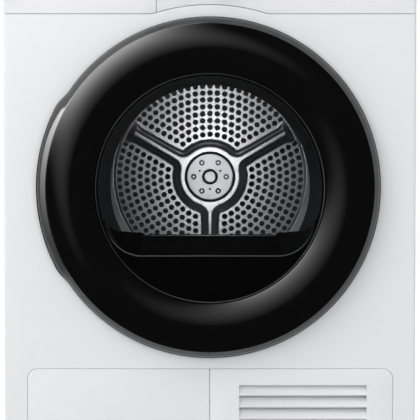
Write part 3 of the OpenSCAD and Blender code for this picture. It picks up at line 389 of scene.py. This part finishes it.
def circle(mesh, centre, radius, segments):
    """A round edge of a radius in millimetres, square to the machine's depth."""
    upright = Matrix.Translation(centre) @ Matrix.Rotation(math.radians(90), 4, "X")
    return bmesh.ops.create_circle(mesh, segments=segments, radius=radius * mm,
                                   matrix=upright)["verts"]


def take_in(mesh, part):
    """Joins a part to a mesh."""
    held = bpy.data.meshes.new("held")
    part.to_mesh(held)
    part.free()
    mesh.from_mesh(held)
    bpy.data.meshes.remove(held)


def piece(name, mesh, finish, body, replaced=(), sharp=sharp_degrees):
    """Makes an object of a mesh, smooth between sharp edges, and gives it its finish and body."""
    data = bpy.data.meshes.new(name)
    mesh.to_mesh(data)
    mesh.free()
    data.shade_smooth()
    made = bpy.data.objects.new(name, data)
    bpy.context.collection.objects.link(made)
    data.materials.append(finish.holder)
    crease(made, sharp)
    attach(made, body)
    if replaced:
        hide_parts(*replaced)


def cross_screw(mesh, place, radius, tall, turn=0.0, facing=1):
    """A pan-headed screw with a cross recess, its head to the front, or to the rear at -1."""
    top_share = 0.9
    cross_half = radius * 0.21
    cross_reach = radius * 0.7
    outline = []
    for quarter in range(4):
        cos, sin = math.cos(-quarter * math.pi / 2), math.sin(-quarter * math.pi / 2)
        for x, z in ((cross_half, cross_reach), (cross_half, cross_half), (cross_reach, cross_half)):
            outline.append((x * cos - z * sin, x * sin + z * cos))
    head = bmesh.new()
    rim = circle(head, (0, 0, 0), radius * top_share, 28)
    rim_edges = list({e for v in rim for e in v.link_edges})
    cross = [head.verts.new((x * mm, 0, z * mm)) for x, z in outline]
    cross_edges = [head.edges.new(pair) for pair in zip(cross, cross[1:] + cross[:1])]
    bmesh.ops.triangle_fill(head, use_beauty=True, edges=rim_edges + cross_edges, normal=(0, -1, 0))
    for edges, depth, grow in ((rim_edges, tall * 0.35, 1 / top_share),
                               (cross_edges, radius * 0.6, 0.6)):
        wall = bmesh.ops.extrude_edge_only(head, edges=edges)["geom"]
        bmesh.ops.translate(head, vec=(0, depth * mm, 0), verts=verts_in(wall))
        bmesh.ops.scale(head, vec=(grow, 1, grow), verts=verts_in(wall))
        if edges is rim_edges:
            skirt = bmesh.ops.extrude_edge_only(head, edges=edges_in(wall))["geom"]
            bmesh.ops.translate(head, vec=(0, (tall * 0.65 + 0.4) * mm, 0), verts=verts_in(skirt))
        else:
            bmesh.ops.holes_fill(head, edges=edges_in(wall), sides=0)
    outward(head)
    about = Matrix.Rotation(0 if facing > 0 else math.pi, 3, "Z")
    bmesh.ops.rotate(head, cent=(0, 0, 0), verts=head.verts,
                     matrix=Matrix.Rotation(turn, 3, "Y") @ about)
    top = Vector(place) - Vector((0, tall * mm * facing, 0))
    bmesh.ops.translate(head, vec=top, verts=head.verts)
    take_in(mesh, head)


# Zinc-plated screws with a cross recess hold the rear panel to the sides and the base.
bright_zinc = bare_metal("bright_zinc", (0.60, 0.60, 0.58), 0.3, marks=(900, 900, 900), spread=0.2)
rear_low, rear_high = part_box("rear_panel")
rear_screws = bmesh.new()
screw_r, screw_tall = 6.2, 2.4
screw_x = rear_high.x - 10 * mm
for row, share in enumerate((0.03, 0.27, 0.5, 0.73, 0.97)):
    screw_z = rear_low.z + (rear_high.z - rear_low.z) * share
    for side in (-1, 1):
        cross_screw(rear_screws, (side * screw_x, rear_high.y, screw_z), screw_r, screw_tall,
                    turn=0.5 + row * side, facing=-1)
piece("rear_screws", rear_screws, bright_zinc, "cabinet", sharp=35)

# ---- Lower front ----
# The left half of the plinth is a flap over the heat exchanger's inner cover with its two turn
# latches, and the right half is a fixed panel with the louvred vent. All are moulded in white.
moulded_white = moulded("moulded_white", (0.805, 0.805, 0.811), 0.46, 1100, 0.012 * mm, tint=0.015)
dress(moulded_white, "hx_cover", "vent_panel", rounded=0.4 * mm)

# A sheet of white fleece behind the louvres keeps dust out of the machine.
vent_low, vent_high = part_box("vent_panel")
vent_middle = (vent_low + vent_high) / 2
fleece_margin = 15 * mm
backing = bmesh.new()
bmesh.ops.create_grid(backing, x_segments=1, y_segments=1, size=0.5)
bmesh.ops.scale(backing, vec=(vent_high.x - vent_low.x - 2 * fleece_margin,
                              vent_high.z - vent_low.z - 2 * fleece_margin, 1), verts=backing.verts)
bmesh.ops.rotate(backing, cent=(0, 0, 0), matrix=Matrix.Rotation(math.radians(90), 3, "X"),
                 verts=backing.verts)
bmesh.ops.translate(backing, vec=(vent_middle.x, vent_high.y + 0.5 * mm, vent_middle.z),
                    verts=backing.verts)
bmesh.ops.solidify(backing, geom=list(backing.faces), thickness=1.2 * mm)
bmesh.ops.bevel(backing, geom=list(backing.edges), offset=0.2 * mm, segments=1, affect="EDGES",
                profile=0.5, material=-1)
outward(backing)
fleece = Finish("vent_fleece")
threads = fleece.noise(1400, 4)
fleece.shade(Base_Color=fleece.blend(threads, (0.74, 0.74, 0.745), (0.82, 0.82, 0.825)),
             Roughness=0.9, Normal=fleece.bump(threads, 0.15 * mm))
piece("vent_fleece", backing, fleece, "cabinet")

dress(tray_plastic, "hx_inner_cover", rounded=0.6 * mm)
latch_plastic = moulded("latch_blue", (0.03, 0.10, 0.36), 0.28, 1200, 0.01 * mm)
dress(latch_plastic, "inner_latch_left", "inner_latch_right", rounded=0.6 * mm)

# ---- Heat pump ----
# Air is dried over two finned coils in a moulded duct. A compressor with a black baked enamel
# drives the loop, and brazed copper pipe joins it to the coils.
dress(duct_plastic, "hx_housing", rounded=0.6 * mm)
fins = bare_metal("fin_alu", (0.78, 0.79, 0.80), 0.32, marks=(1600, 90, 90))
dress(fins, "evaporator", "condenser")
baked = enamel("enamel_black", (0.012, 0.012, 0.013), 0.3, 0.02 * mm)
dress(baked, "compressor", rounded=1.0 * mm)
copper = bare_metal("copper", (0.78, 0.40, 0.25), 0.3, marks=(300, 300, 300), tarnish=0.35)
dress(copper, "refrigerant_pipes")

# ---- Drive ----
# One motor turns the belt's pulley at its front and the blower wheel at its rear. The belt runs
# round the drum, kept tight by a pulley on a sprung arm, and is ribbed along its length.
motor_metal = bare_metal("motor_alu", (0.50, 0.51, 0.52), 0.42, marks=(90, 1500, 90), spread=0.2)
dress(motor_metal, "motor", rounded=0.5 * mm)
machined = bare_metal("machined_steel", (0.62, 0.62, 0.63), 0.26, marks=(200, 1800, 200))
dress(machined, "motor_shaft")
dress(tray_plastic, "blower_wheel")
dress(duct_plastic, "fan_scroll", rounded=0.6 * mm)
dress(zinc, "idler_arm", rounded=0.4 * mm)
dress(tray_plastic, "idler_pulley", rounded=0.3 * mm)
belt_low, belt_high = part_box("drive_belt")
belt_rubber = Finish("belt_black")
across_belt = (belt_rubber.along(0, 1, 0) - belt_low.y) / (belt_high.y - belt_low.y)
belt_ribs = 5
rib = (across_belt * (math.tau * belt_ribs)).sine()
belt_rubber.shade(Base_Color=(0.016, 0.016, 0.017), Roughness=0.55 + belt_rubber.noise(260) * 0.2,
                  Normal=belt_rubber.bump(rib, 0.5 * mm))
dress(belt_rubber, "drive_belt")

# ---- Water path ----
# A pump lifts the condensed water through a hose to a tank of translucent polypropylene that
# slides out with its white drawer front, in a moulded bay under the worktop.
dress(tray_plastic, "drain_pump", rounded=0.5 * mm)
dress(duct_plastic, "tank_bay")
tank_plastic = moulded("tank_plastic", (0.72, 0.76, 0.79), 0.36, 300, 0.02 * mm)
dress(tank_plastic, "water_tank", rounded=0.6 * mm)
lid_plastic = moulded("lid_plastic", (0.56, 0.62, 0.68), 0.4, 700)
dress(lid_plastic, "tank_lid", rounded=0.6 * mm)
dress(moulded_white, "tank_front", rounded=0.4 * mm)

# ---- Control panel ----
# A white moulding carries the programme dial, two lacquered buttons and a dark window over the
# display, with its board behind. The dial and the buttons are plain.
dress(moulded_white, "control_panel", "program_dial", rounded=0.4 * mm)
screen = Finish("display_black")
screen.shade(Base_Color=(0.008, 0.008, 0.010), Roughness=0.08 + screen.noise(500) * 0.05,
             Coat_Weight=0.5, Coat_Roughness=0.03)
dress(screen, "display_window", rounded=0.3 * mm)
board = Finish("board_green")
tracks = board.node("ShaderNodeTexVoronoi", {"feature": "DISTANCE_TO_EDGE"}, out="Distance",
                    Scale=260.0, Vector=board.place()).step(0.02, 0.06)
board.shade(Base_Color=board.blend(tracks, (0.20, 0.33, 0.12), (0.03, 0.16, 0.07)), Roughness=0.38)
dress(board, "control_board")
lacquer = moulded("button_silver", (0.50, 0.51, 0.52), 0.24, 1500, 0.004 * mm)
dress(lacquer, "power_button", "start_button", rounded=0.4 * mm)

# ---- Drum's mouth ----
# The bulkhead closes the front of the drum with a dark, finely eroded collar that leads to the
# door. The lint filter stands in a satin black housing in its lower part, a frosted lens covers
# the lamp above, felt rings seal both ends of the drum, and two rubber rollers carry it.
collar = grained(Finish("collar_grey"), 0.5, 260, 0.5 * mm)
# The collar's colour goes near black toward its top: painted shade where the lamps' light does not
# reach.
painted_shade_top = (collar.along(0, 0, 1) - door_axis).step(-0.04, 0.13)
mottled = collar.blend(collar.noise(320), (0.05, 0.05, 0.054), (0.021, 0.021, 0.023))
collar.shade(Base_Color=collar.blend(painted_shade_top, mottled, (0.003, 0.003, 0.0034)),
             Specular_IOR_Level=0.22)
dress(collar, "front_bulkhead")
filter_black = moulded("filter_black", (0.003, 0.003, 0.0033), 0.42, 800)
filter_black.shade(Specular_IOR_Level=0.12)
dress(filter_black, "filter_housing", rounded=0.8 * mm)

# Two wings of the same moulding close the gap between the housing and the round collar. The
# outline is in millimetres from the middle and from the housing's top.
housing_low, housing_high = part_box("filter_housing")
wing_outline = [(98, 4), (136, 7), (150, 15), (156, 15), (150, -26), (112, -64), (98, -64)]
wing_front = housing_low.y + 3 * mm
wing_thick = 12 * mm
wings = bmesh.new()
corners = [wings.verts.new((x * mm, wing_front, housing_high.z + z * mm)) for x, z in wing_outline]
wing = bmesh.ops.extrude_face_region(wings, geom=[wings.faces.new(corners)])["geom"]
bmesh.ops.translate(wings, vec=(0, wing_thick, 0), verts=verts_in(wing))
whole_wing = list(wings.verts) + list(wings.edges) + list(wings.faces)
other = bmesh.ops.duplicate(wings, geom=whole_wing)["geom"]
bmesh.ops.scale(wings, vec=(-1, 1, 1), verts=verts_in(other))
bmesh.ops.bevel(wings, geom=list(wings.edges), offset=1.2 * mm, segments=2, affect="EDGES",
                profile=0.5, material=-1)
outward(wings)
piece("filter_wings", wings, filter_black, "cabinet")

# The filter is a fine gauze in a moulded frame, woven 0.4 mm to the thread.
gauze = Finish("filter_frame")
thread_pitch = 0.4 * mm
weave_x = gauze.along(1, 0, 0).zigzag(thread_pitch)
weave_z = gauze.along(0, 0, 1).zigzag(thread_pitch)
gauze.shade(Base_Color=gauze.blend(gauze.noise(40), (0.56, 0.58, 0.60), (0.50, 0.52, 0.54)),
            Roughness=0.5 + gauze.noise(900) * 0.1, Normal=gauze.bump(weave_x + weave_z, 0.2))
dress(gauze, "lint_filter", rounded=0.4 * mm)
lens_plastic = moulded("lamp_clear", (0.82, 0.82, 0.80), 0.3, 900, 0.03 * mm)
dress(lens_plastic, "drum_lamp")
felt = Finish("felt_grey")
fibres = felt.noise(1700, 5)
felt.shade(Base_Color=felt.blend(fibres, (0.17, 0.165, 0.16), (0.28, 0.27, 0.26)), Roughness=0.95,
           Sheen_Weight=0.4, Normal=felt.bump(fibres, 0.25 * mm))
dress(felt, "felt_seals")
dress(foot_rubber, "roller_left", "roller_right", rounded=0.6 * mm)
dark_moulding = moulded("frame_grey", (0.045, 0.046, 0.048), 0.45, 900, 0.05 * mm)
dress(dark_moulding, "door_lock", rounded=0.5 * mm)

# ---- Drum ----
# The shell is a rolled stainless band with three pressed lifters. The lamp in the mouth shines
# down it from above the door.
drum_steel = bare_metal("drum_steel", (0.66, 0.665, 0.68), 0.34, marks=(60, 900, 60), spread=0.1,
                        tarnish=0.06)
dress(drum_steel, "drum_shell")
lifter_steel = bare_metal("lifter_steel", (0.66, 0.67, 0.68), 0.28, marks=(60, 900, 60),
                          tarnish=0.06)
dress(lifter_steel, "drum_lifters", rounded=3.0 * mm)
dress(machined, "drum_shaft")
shell_low, shell_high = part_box("drum_shell")
mouth_lamp = softbox("drum_light", (0, shell_low.y + 0.03, door_axis + 0.19),
                     (0, shell_high.y, door_axis + 0.05), 0.10, 0.05, 0.03, spread=120)
# What the room sends in through the window.
window_light = softbox("window_light", (0, front_low.y + 0.06, door_axis - 0.01),
                       (0, shell_high.y, door_axis - 0.01), 0.05, 0.25, 0.062, spread=70)
mouth_lamp.visible_glossy = window_light.visible_glossy = True

# ---- Drum's back ----
# One pressed sheet of stainless steel: three fields of punched holes between the arms of a raised
# star, an outer step, and a recess in the star's middle. Each hole's front edge is rolled in.


def spun(mesh, profile, steps, closed=True):
    """Turns a section of radius and depth, in millimetres, about the door's axis."""
    verts = [mesh.verts.new((r * mm, y * mm, door_axis)) for r, y in profile]
    pairs = list(zip(verts, verts[1:])) + ([(verts[-1], verts[0])] if closed else [])
    edges = [mesh.edges.new(pair) for pair in pairs]
    bmesh.ops.spin(mesh, geom=verts + edges, cent=(0, 0, door_axis), axis=(0, 1, 0),
                   angle=math.tau, steps=steps, use_merge=True)
    bmesh.ops.remove_doubles(mesh, verts=mesh.verts, dist=0.01 * mm)


def eased(low, high, value):
    """0 below low, 1 above high, and smooth between them."""
    share = min(max((value - low) / (high - low), 0), 1)
    return share * share * (3 - 2 * share)


back_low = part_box("drum_back")[0]
star_top = back_low.y / mm
star_rise = 7
plate_y = star_top + star_rise
plate_r = 157
arm_angles = [math.radians(a) for a in (30, 150, 270)]
ring_count, first_ring, ring_pitch, hole_gap = 8, 70.7, 11.5, 12.3
hole_r = 4.3
hole_lip = 0.8
rolled = [(hole_r + 0.55, 0), (hole_r + 0.3, 0.06), (hole_r + 0.1, 0.26), (hole_r, 0.6),
          (hole_r, 1.3)]


def roll_edges(mesh, rings, profile):
    """Carries round edges on through radii and depths, in millimetres, about their centres."""
    centres = {vert: centre for ring, centre in rings for vert in ring}
    edges = [e for e in {e for vert in centres for e in vert.link_edges}
             if centres.get(e.verts[0]) is centres.get(e.verts[1])]
    for radius, depth in profile:
        edges = edges_in(bmesh.ops.extrude_edge_only(mesh, edges=edges)["geom"])
        reached = {}
        for vert in {v for e in edges for v in e.verts}:
            near = (e.other_vert(vert) for e in vert.link_edges)
            reached[vert] = next(centres[other] for other in near if other in centres)
        for vert, centre in reached.items():
            out = Vector((vert.co.x - centre.x, 0, vert.co.z - centre.z)).normalized()
            vert.co = centre + out * radius * mm + Vector((0, depth * mm, 0))
        centres = reached
    return edges


def on_plate(r, turn, depth=plate_y):
    """A point at a radius and a turn about the door's axis."""
    return Vector((r * math.cos(turn) * mm, depth * mm, r * math.sin(turn) * mm + door_axis))


def swept(mesh, start, centre, axis, angle):
    """Sweeps a vertex round a centre in sixty steps and returns where it ends."""
    arc = bmesh.ops.spin(mesh, geom=[start], cent=centre, axis=axis, angle=angle, steps=60)
    return verts_in(arc["geom_last"])[0]


def lay_holes(mesh):
    """Eight rings of holes between two arms. Each has one more on either side than the last."""
    holes = []
    for ring in range(ring_count):
        r = first_ring + ring * ring_pitch
        beside_middle = 4 + ring
        for i in range(-beside_middle, beside_middle + 1):
            turn = math.radians(90) + i * hole_gap / r
            centre = on_plate(r, turn)
            holes.append((circle(mesh, centre, hole_r + hole_lip, 20), centre))
    return holes


def lay_sector(mesh, inner, outer):
    """The outline of a third of the plate, from the middle of one arm to the middle of the next."""
    ends = []
    for r in (inner, outer):
        first = mesh.verts.new(on_plate(r, arm_angles[0]))
        last = swept(mesh, first, (0, plate_y * mm, door_axis), (0, -1, 0), math.radians(120))
        ends.append((first, last))
    for near, far in zip(*ends):
        mesh.edges.new((near, far))


def repeat_thirds(mesh):
    """Turns copies of what is there by one and two thirds of a turn, and joins them."""
    made = list(mesh.verts) + list(mesh.edges) + list(mesh.faces)
    for turn in (120, 240):
        more = bmesh.ops.duplicate(mesh, geom=made)["geom"]
        bmesh.ops.rotate(mesh, cent=(0, 0, door_axis), verts=verts_in(more),
                         matrix=Matrix.Rotation(math.radians(turn), 3, "Y"))
    bmesh.ops.remove_doubles(mesh, verts=mesh.verts, dist=0.02 * mm)


def face_front(mesh):
    """Turns a sheet's faces to the front of the machine."""
    outward(mesh)
    if sum(f.normal.y * f.calc_area() for f in mesh.faces) > 0:
        bmesh.ops.reverse_faces(mesh, faces=mesh.faces)


plate = bmesh.new()
holes = lay_holes(plate)
plate_hole_r = 30
lay_sector(plate, plate_hole_r, plate_r)
bmesh.ops.triangle_fill(plate, use_beauty=True, edges=plate.edges, normal=(0, -1, 0))
roll_edges(plate, holes, rolled)
repeat_thirds(plate)
face_front(plate)

# The star's radii lie close together at the recess's edge and on the hub's slopes.
recess_edge = [40 + 0.4 * i for i in range(8)]
stations = [36, 38] + recess_edge + list(range(44, 72)) + list(range(74, 158, 3))
star = bmesh.new()
line = [star.verts.new((r * mm, plate_y * mm, door_axis)) for r in stations]
line_edges = [star.edges.new(pair) for pair in zip(line, line[1:])]
bmesh.ops.spin(star, geom=line + line_edges, cent=(0, 0, door_axis), axis=(0, 1, 0),
               angle=math.tau / 3, steps=270)
repeat_thirds(star)
arm_half, hub_r, fillet_r = 2.2, 48.5, 15
hub_slope, arm_steeper, end_flatter, lip = 15, 2.6, 5, 0.03
arm_end = 146, 155
recess_wall, recess_depth = (40.9, 42.4), 6


def star_height(x, z):
    """How far the pressed star stands out of the plate: a hub, three arms, and fillets between."""
    reach = math.hypot(x, z)
    sides = [abs(z * math.cos(a) - x * math.sin(a)) for a in arm_angles
             if x * math.cos(a) + z * math.sin(a) > 0]
    from_arm = min(sides, default=reach) - arm_half
    from_hub = reach - hub_r
    in_fillet = math.hypot(max(fillet_r - from_hub, 0), max(fillet_r - from_arm, 0))
    apart = max(fillet_r, min(from_hub, from_arm)) - in_fillet
    slope = hub_slope - arm_steeper * eased(0, 40, from_hub) + end_flatter * eased(138, 150, reach)
    fall = min(max(apart / slope, 0), 1)
    height = star_rise * (1 - fall + lip * math.sin(4 * math.pi * fall))
    return height * (1 - eased(*arm_end, reach)) - recess_depth * (1 - eased(*recess_wall, reach))


heights = {v: star_height(v.co.x / mm, (v.co.z - door_axis) / mm) for v in star.verts}
hardly_raised = 0.03
flat = [f for f in star.faces if all(heights[v] < hardly_raised for v in f.verts)]
for vert, height in heights.items():
    vert.co.y -= height * mm
bmesh.ops.delete(star, geom=flat, context="FACES")

# The sheet goes on past the holes as a step back, and then flat to the drum's shell.
step_y = plate_y - 0.5
outer_step = bmesh.new()
spun(outer_step, [(156.8, plate_y), (157.6, plate_y), (160.2, plate_y + 2), (161.8, plate_y + 2),
                  (164, step_y), (280, step_y), (283, step_y)], 240, closed=False)
for part in (star, outer_step):
    face_front(part)
    take_in(plate, part)
back_steel = bare_metal("drum_back_steel", (0.72, 0.715, 0.745), 0.35, marks=(260, 60, 260),
                        spread=0.2, tarnish=0.08)
piece("drum_back_pressed", plate, back_steel, "drum", ["drum_back"], sharp=50)

# ---- Drum's hub ----
# A blasted steel disc in the star's recess covers the shaft's flange. Six cross-headed screws and
# a central boss hold it, and three small holes take the assembly tool.
hub_steel = bare_metal("hub_steel", (0.70, 0.695, 0.72), 0.42, marks=(900, 900, 900), spread=0.5,
                       tarnish=0.25)
cap = bmesh.new()
cap_face = star_top - 2
face_at = Vector((0, cap_face * mm, door_axis))
edge_ring = circle(cap, face_at, 36.4, 120)
boss_ring = circle(cap, face_at, 14.2, 72)
tool_rings = []
tool_circle_r = 20
for turn in arm_angles:
    centre = on_plate(tool_circle_r, turn, cap_face)
    tool_rings.append((circle(cap, centre, 2.4, 16), centre))
bmesh.ops.triangle_fill(cap, use_beauty=True, edges=cap.edges, normal=(0, -1, 0))
roll_edges(cap, [(edge_ring, face_at)],
           [(37.3, 0), (37.8, 0.06), (38.1, 0.3), (38.2, 0.7), (38.2, 6)])
roll_edges(cap, tool_rings, [(1.9, 0), (1.6, 0.1), (1.5, 0.4), (1.5, 3)])
boss_edges = roll_edges(cap, [(boss_ring, face_at)],
                        [(13.4, 0), (12.9, 0.1), (12.7, 0.5), (12.7, 11), (9.6, 11), (9.6, 0.2),
                         (9.4, -0.3), (9.0, -0.6), (8.4, -0.7), (7.6, -0.7)])
bmesh.ops.holes_fill(cap, edges=boss_edges, sides=0)
outward(cap)
piece("hub_cap", cap, hub_steel, "drum", ["drum_hub"], sharp=60)

# A black ring of the feet's rubber lies behind the cap, in the gaps round its edge and its boss:
# painted shade for the grooves there.
hub_groove_painted_shade = bmesh.new()
spun(hub_groove_painted_shade, [(9.5, cap_face + 5), (9.5, cap_face + 2.8), (9.8, cap_face + 2.5),
                (41.1, cap_face + 2.5), (41.4, cap_face + 2.8), (41.4, cap_face + 5)], 96)
outward(hub_groove_painted_shade)
piece("hub_groove_painted_shade", hub_groove_painted_shade, foot_rubber, "drum")

# The hub's screws are near black, far darker than the rear screws' bright zinc: painted shade for
# their cross recesses.
screw_zinc_painted_shade = bare_metal("screw_zinc_painted_shade", (0.055, 0.055, 0.06), 0.45, marks=(900, 900, 900), spread=0.2)
bolts = bmesh.new()
bolt_circle_r, bolt_r, bolt_tall = 27, 4.6, 1.2
for place in range(6):
    bolt_at = on_plate(bolt_circle_r, math.radians(60 * place), cap_face)
    cross_screw(bolts, bolt_at, bolt_r, bolt_tall, turn=0.4 + place)
piece("hub_screws", bolts, screw_zinc_painted_shade, "drum", sharp=35)

# ---- Door ----
# The ring is one thick gloss moulding: a tapered rim with a grip on the left, a crease, and a
# rounded front that falls to a narrow edge round the glass.
panel_face = front_low.y / mm
ring_black = Finish("ring_black")
ring_black.shade(Base_Color=(0.0018, 0.0018, 0.0021), Roughness=0.07 + ring_black.noise(300) * 0.02)


def profile_arc(centre, radius, start, end, steps):
    """Points on an arc of radius and depth, its angles in degrees from straight outwards."""
    turns = [math.radians(start + (end - start) * i / steps) for i in range(steps + 1)]
    return [(centre[0] + radius * math.cos(t), centre[1] + radius * math.sin(t)) for t in turns]


def from_face(profile):
    """A section whose second measure is how far it stands out from the front panel."""
    return [(r, panel_face - out) for r, out in profile]


# From the inner edge over the rounded front to the crease, down the tapered rim to its ledge,
# and back inside at the moulding's thickness.
section = [(167.5, 10), (167.5, 29.6), (167.7, 30.3), (168.3, 30.9)]
section += profile_arc((203, -31.1), 71.1, 119, 90, 22)
section += profile_arc((203, -12), 52, 90, 47.6, 30)[1:]
section += profile_arc((234.69, 22.71), 5, 47.6, 29.7, 8)[1:]
section += [(244, 16.4), (247.3, 10.6), (247.4, 8.7), (247.6, 8.5), (248.4, 8.4), (248.5, 8.2),
            (248.5, 5.0), (248.0, 4.5), (240.8, 4.5), (240.5, 10), (235.5, 19), (235.2, 23),
            (226, 30.6), (214, 36), (203, 37.2), (190, 35.8), (178, 31.6), (170.5, 27.4),
            (170.5, 10)]
ring = bmesh.new()
spun(ring, from_face(section), 360)

# The rim swells outwards over the grip, and is cut back where the hinge's two arms pass under it.
grip_low, grip_high, grip_blend, grip_out = 145.5, 214.5, 6.5, 4.7
rim_from, rim_width = 238.5, 10
hinge_arm_z, hinge_arm_half = 45, 7.5
hinge_side_x, under_rim_r = 190, 239.5
cut_back = panel_face - 8.3
for vert in ring.verts:
    x, z = vert.co.x / mm, (vert.co.z - door_axis) / mm
    reach = math.hypot(x, z)
    angle = math.degrees(math.atan2(z, x)) % 360
    grip = grip_out * eased(grip_low, grip_low + grip_blend, angle)
    grip *= 1 - eased(grip_high - grip_blend, grip_high, angle)
    grown = reach + grip * min(max((reach - rim_from) / rim_width, 0), 1)
    vert.co.x, vert.co.z = x * grown / reach * mm, z * grown / reach * mm + door_axis
    at_arm = x > hinge_side_x and abs(abs(z) - hinge_arm_z) < hinge_arm_half
    if at_arm and reach > under_rim_r and vert.co.y / mm > cut_back:
        vert.co.y = cut_back * mm
outward(ring)
piece("door_ring_moulding", ring, ring_black, "door", ["door_ring"], sharp=60)

# The glass is a flat tinted disc with a ground edge, printed black behind but for a window, and
# inside it a deep bowl of clear pressed glass leads the laundry back into the drum.


def clear_glass(name, tint, gloss_roughness, index):
    """Glass too thin to bend what is seen through it. It mirrors more toward its edges."""
    finish = Finish(name)
    clear = finish.node("ShaderNodeBsdfTransparent", None, tint, out="BSDF")
    gloss = finish.node("ShaderNodeBsdfGlossy", None, out="BSDF",
                        Roughness=gloss_roughness + finish.noise(60) * 0.004)
    edge = finish.node("ShaderNodeFresnel", None, out="Fac", IOR=index)
    return finish.end_with(finish.node("ShaderNodeMixShader", None, edge, clear, gloss))


flat_glass = clear_glass("door_glass", (0.95, 0.955, 0.96), 0.01, 1.35)
disc = bmesh.new()
glass_face = glass_low.y / mm
glass_back = glass_face + 4
spun(disc, [(0, glass_face), (164.3, glass_face), (164.8, glass_face), (166, glass_face + 1.2),
            (166, glass_back), (0, glass_back)], 240, closed=False)
outward(disc)
piece("window_glass", disc, flat_glass, "door", ["door_glass"], sharp=30)

# A grey line follows the window's outline: a circle cut off below, with round corners. Its grey is a
# painted highlight of the bowl's edge along the bottom, and it turns black higher up.
window_r, window_flat, corner_r = 161.9, 99.1, 53.2
line_depth = (glass_back + 0.2) * mm
line_width = 1.5 * mm
corner_x = math.sqrt((window_r - corner_r) ** 2 - (window_flat - corner_r) ** 2)
corner_z = corner_r - window_flat
swing = math.atan2(window_flat - corner_r, corner_x)
corner_turn = math.pi / 2 - swing
top_turn = math.pi + 2 * swing
trim = bmesh.new()
point = trim.verts.new((-corner_x * mm, line_depth, door_axis - window_flat * mm))
first = point
for centre_x, centre_z, turn in ((-corner_x, corner_z, corner_turn), (0, 0, top_turn),
                                 (corner_x, corner_z, corner_turn)):
    point = swept(trim, point, (centre_x * mm, 0, centre_z * mm + door_axis), (0, 1, 0), turn)
trim.edges.new((point, first))
window = bmesh.ops.holes_fill(trim, edges=trim.edges, sides=0)["faces"]
bmesh.ops.inset_region(trim, faces=window, thickness=line_width, use_boundary=True,
                       use_even_offset=True)
bmesh.ops.delete(trim, geom=window, context="FACES")
outward(trim)
line_grey = grained(Finish("line_grey"), 0.4, 900)
# The line is grey below this height and black above it: a painted highlight that fades out.
fades_from = door_axis - 94 * mm
painted_highlight_fade = (line_grey.along(0, 0, 1) - fades_from).step(0.0, 0.03)
painted_highlight_grey = line_grey.blend(line_grey.noise(900), (0.13, 0.13, 0.135), (0.16, 0.16, 0.165))
line_grey.shade(Base_Color=line_grey.blend(painted_highlight_fade, painted_highlight_grey, (0.006, 0.006, 0.007)))
piece("window_line", trim, line_grey, "door")

# The disc's rim is ground and left dull. It is painted paler toward the lower right: a painted
# highlight where the rim catches the light.
ground_rim = bmesh.new()
spun(ground_rim, [(164.9, glass_face - 0.1), (165.9, glass_face + 0.5), (166.1, glass_face + 1.4)],
     240, closed=False)
outward(ground_rim)
rim_glass = Finish("ground_rim")
painted_highlight_side = (rim_glass.along(0.7, 0, -0.7) + 0.7 * door_axis).step(-0.06, 0.16)
frost = rim_glass.noise(1200)
rim_glass.shade(Base_Color=rim_glass.blend(painted_highlight_side, (0.022, 0.022, 0.024), (0.11, 0.11, 0.115)),
                Roughness=0.5 + frost * 0.2, Normal=rim_glass.bump(frost, 0.02 * mm))
piece("glass_rim", ground_rim, rim_glass, "door")

# The print is a satin black layer. A dark moulded inner frame closes the door behind, and bears
# the hook, the grey rubber seal and the hinge's steel leaf.
print_black = Finish("mask_black")
print_black.shade(Base_Color=(0.0012, 0.0012, 0.0014), Specular_IOR_Level=0.12,
                  Roughness=0.2 + print_black.noise(700) * 0.06)
dress(print_black, "window_mask")
bowl_glass = clear_glass("bowl_glass", (0.98, 0.985, 0.985), 0.03, 1.06)
dress(bowl_glass, "door_bowl")
dress(dark_moulding, "door_frame", "door_hook", rounded=0.5 * mm)
seal_rubber = moulded("seal_grey", (0.05, 0.05, 0.052), 0.6, 1500, 0.03 * mm)
dress(seal_rubber, "door_gasket")
dress(machined, "hinge_leaf", "hinge_pin", rounded=0.4 * mm)
dress(zinc, "hinge_bracket", rounded=0.4 * mm)
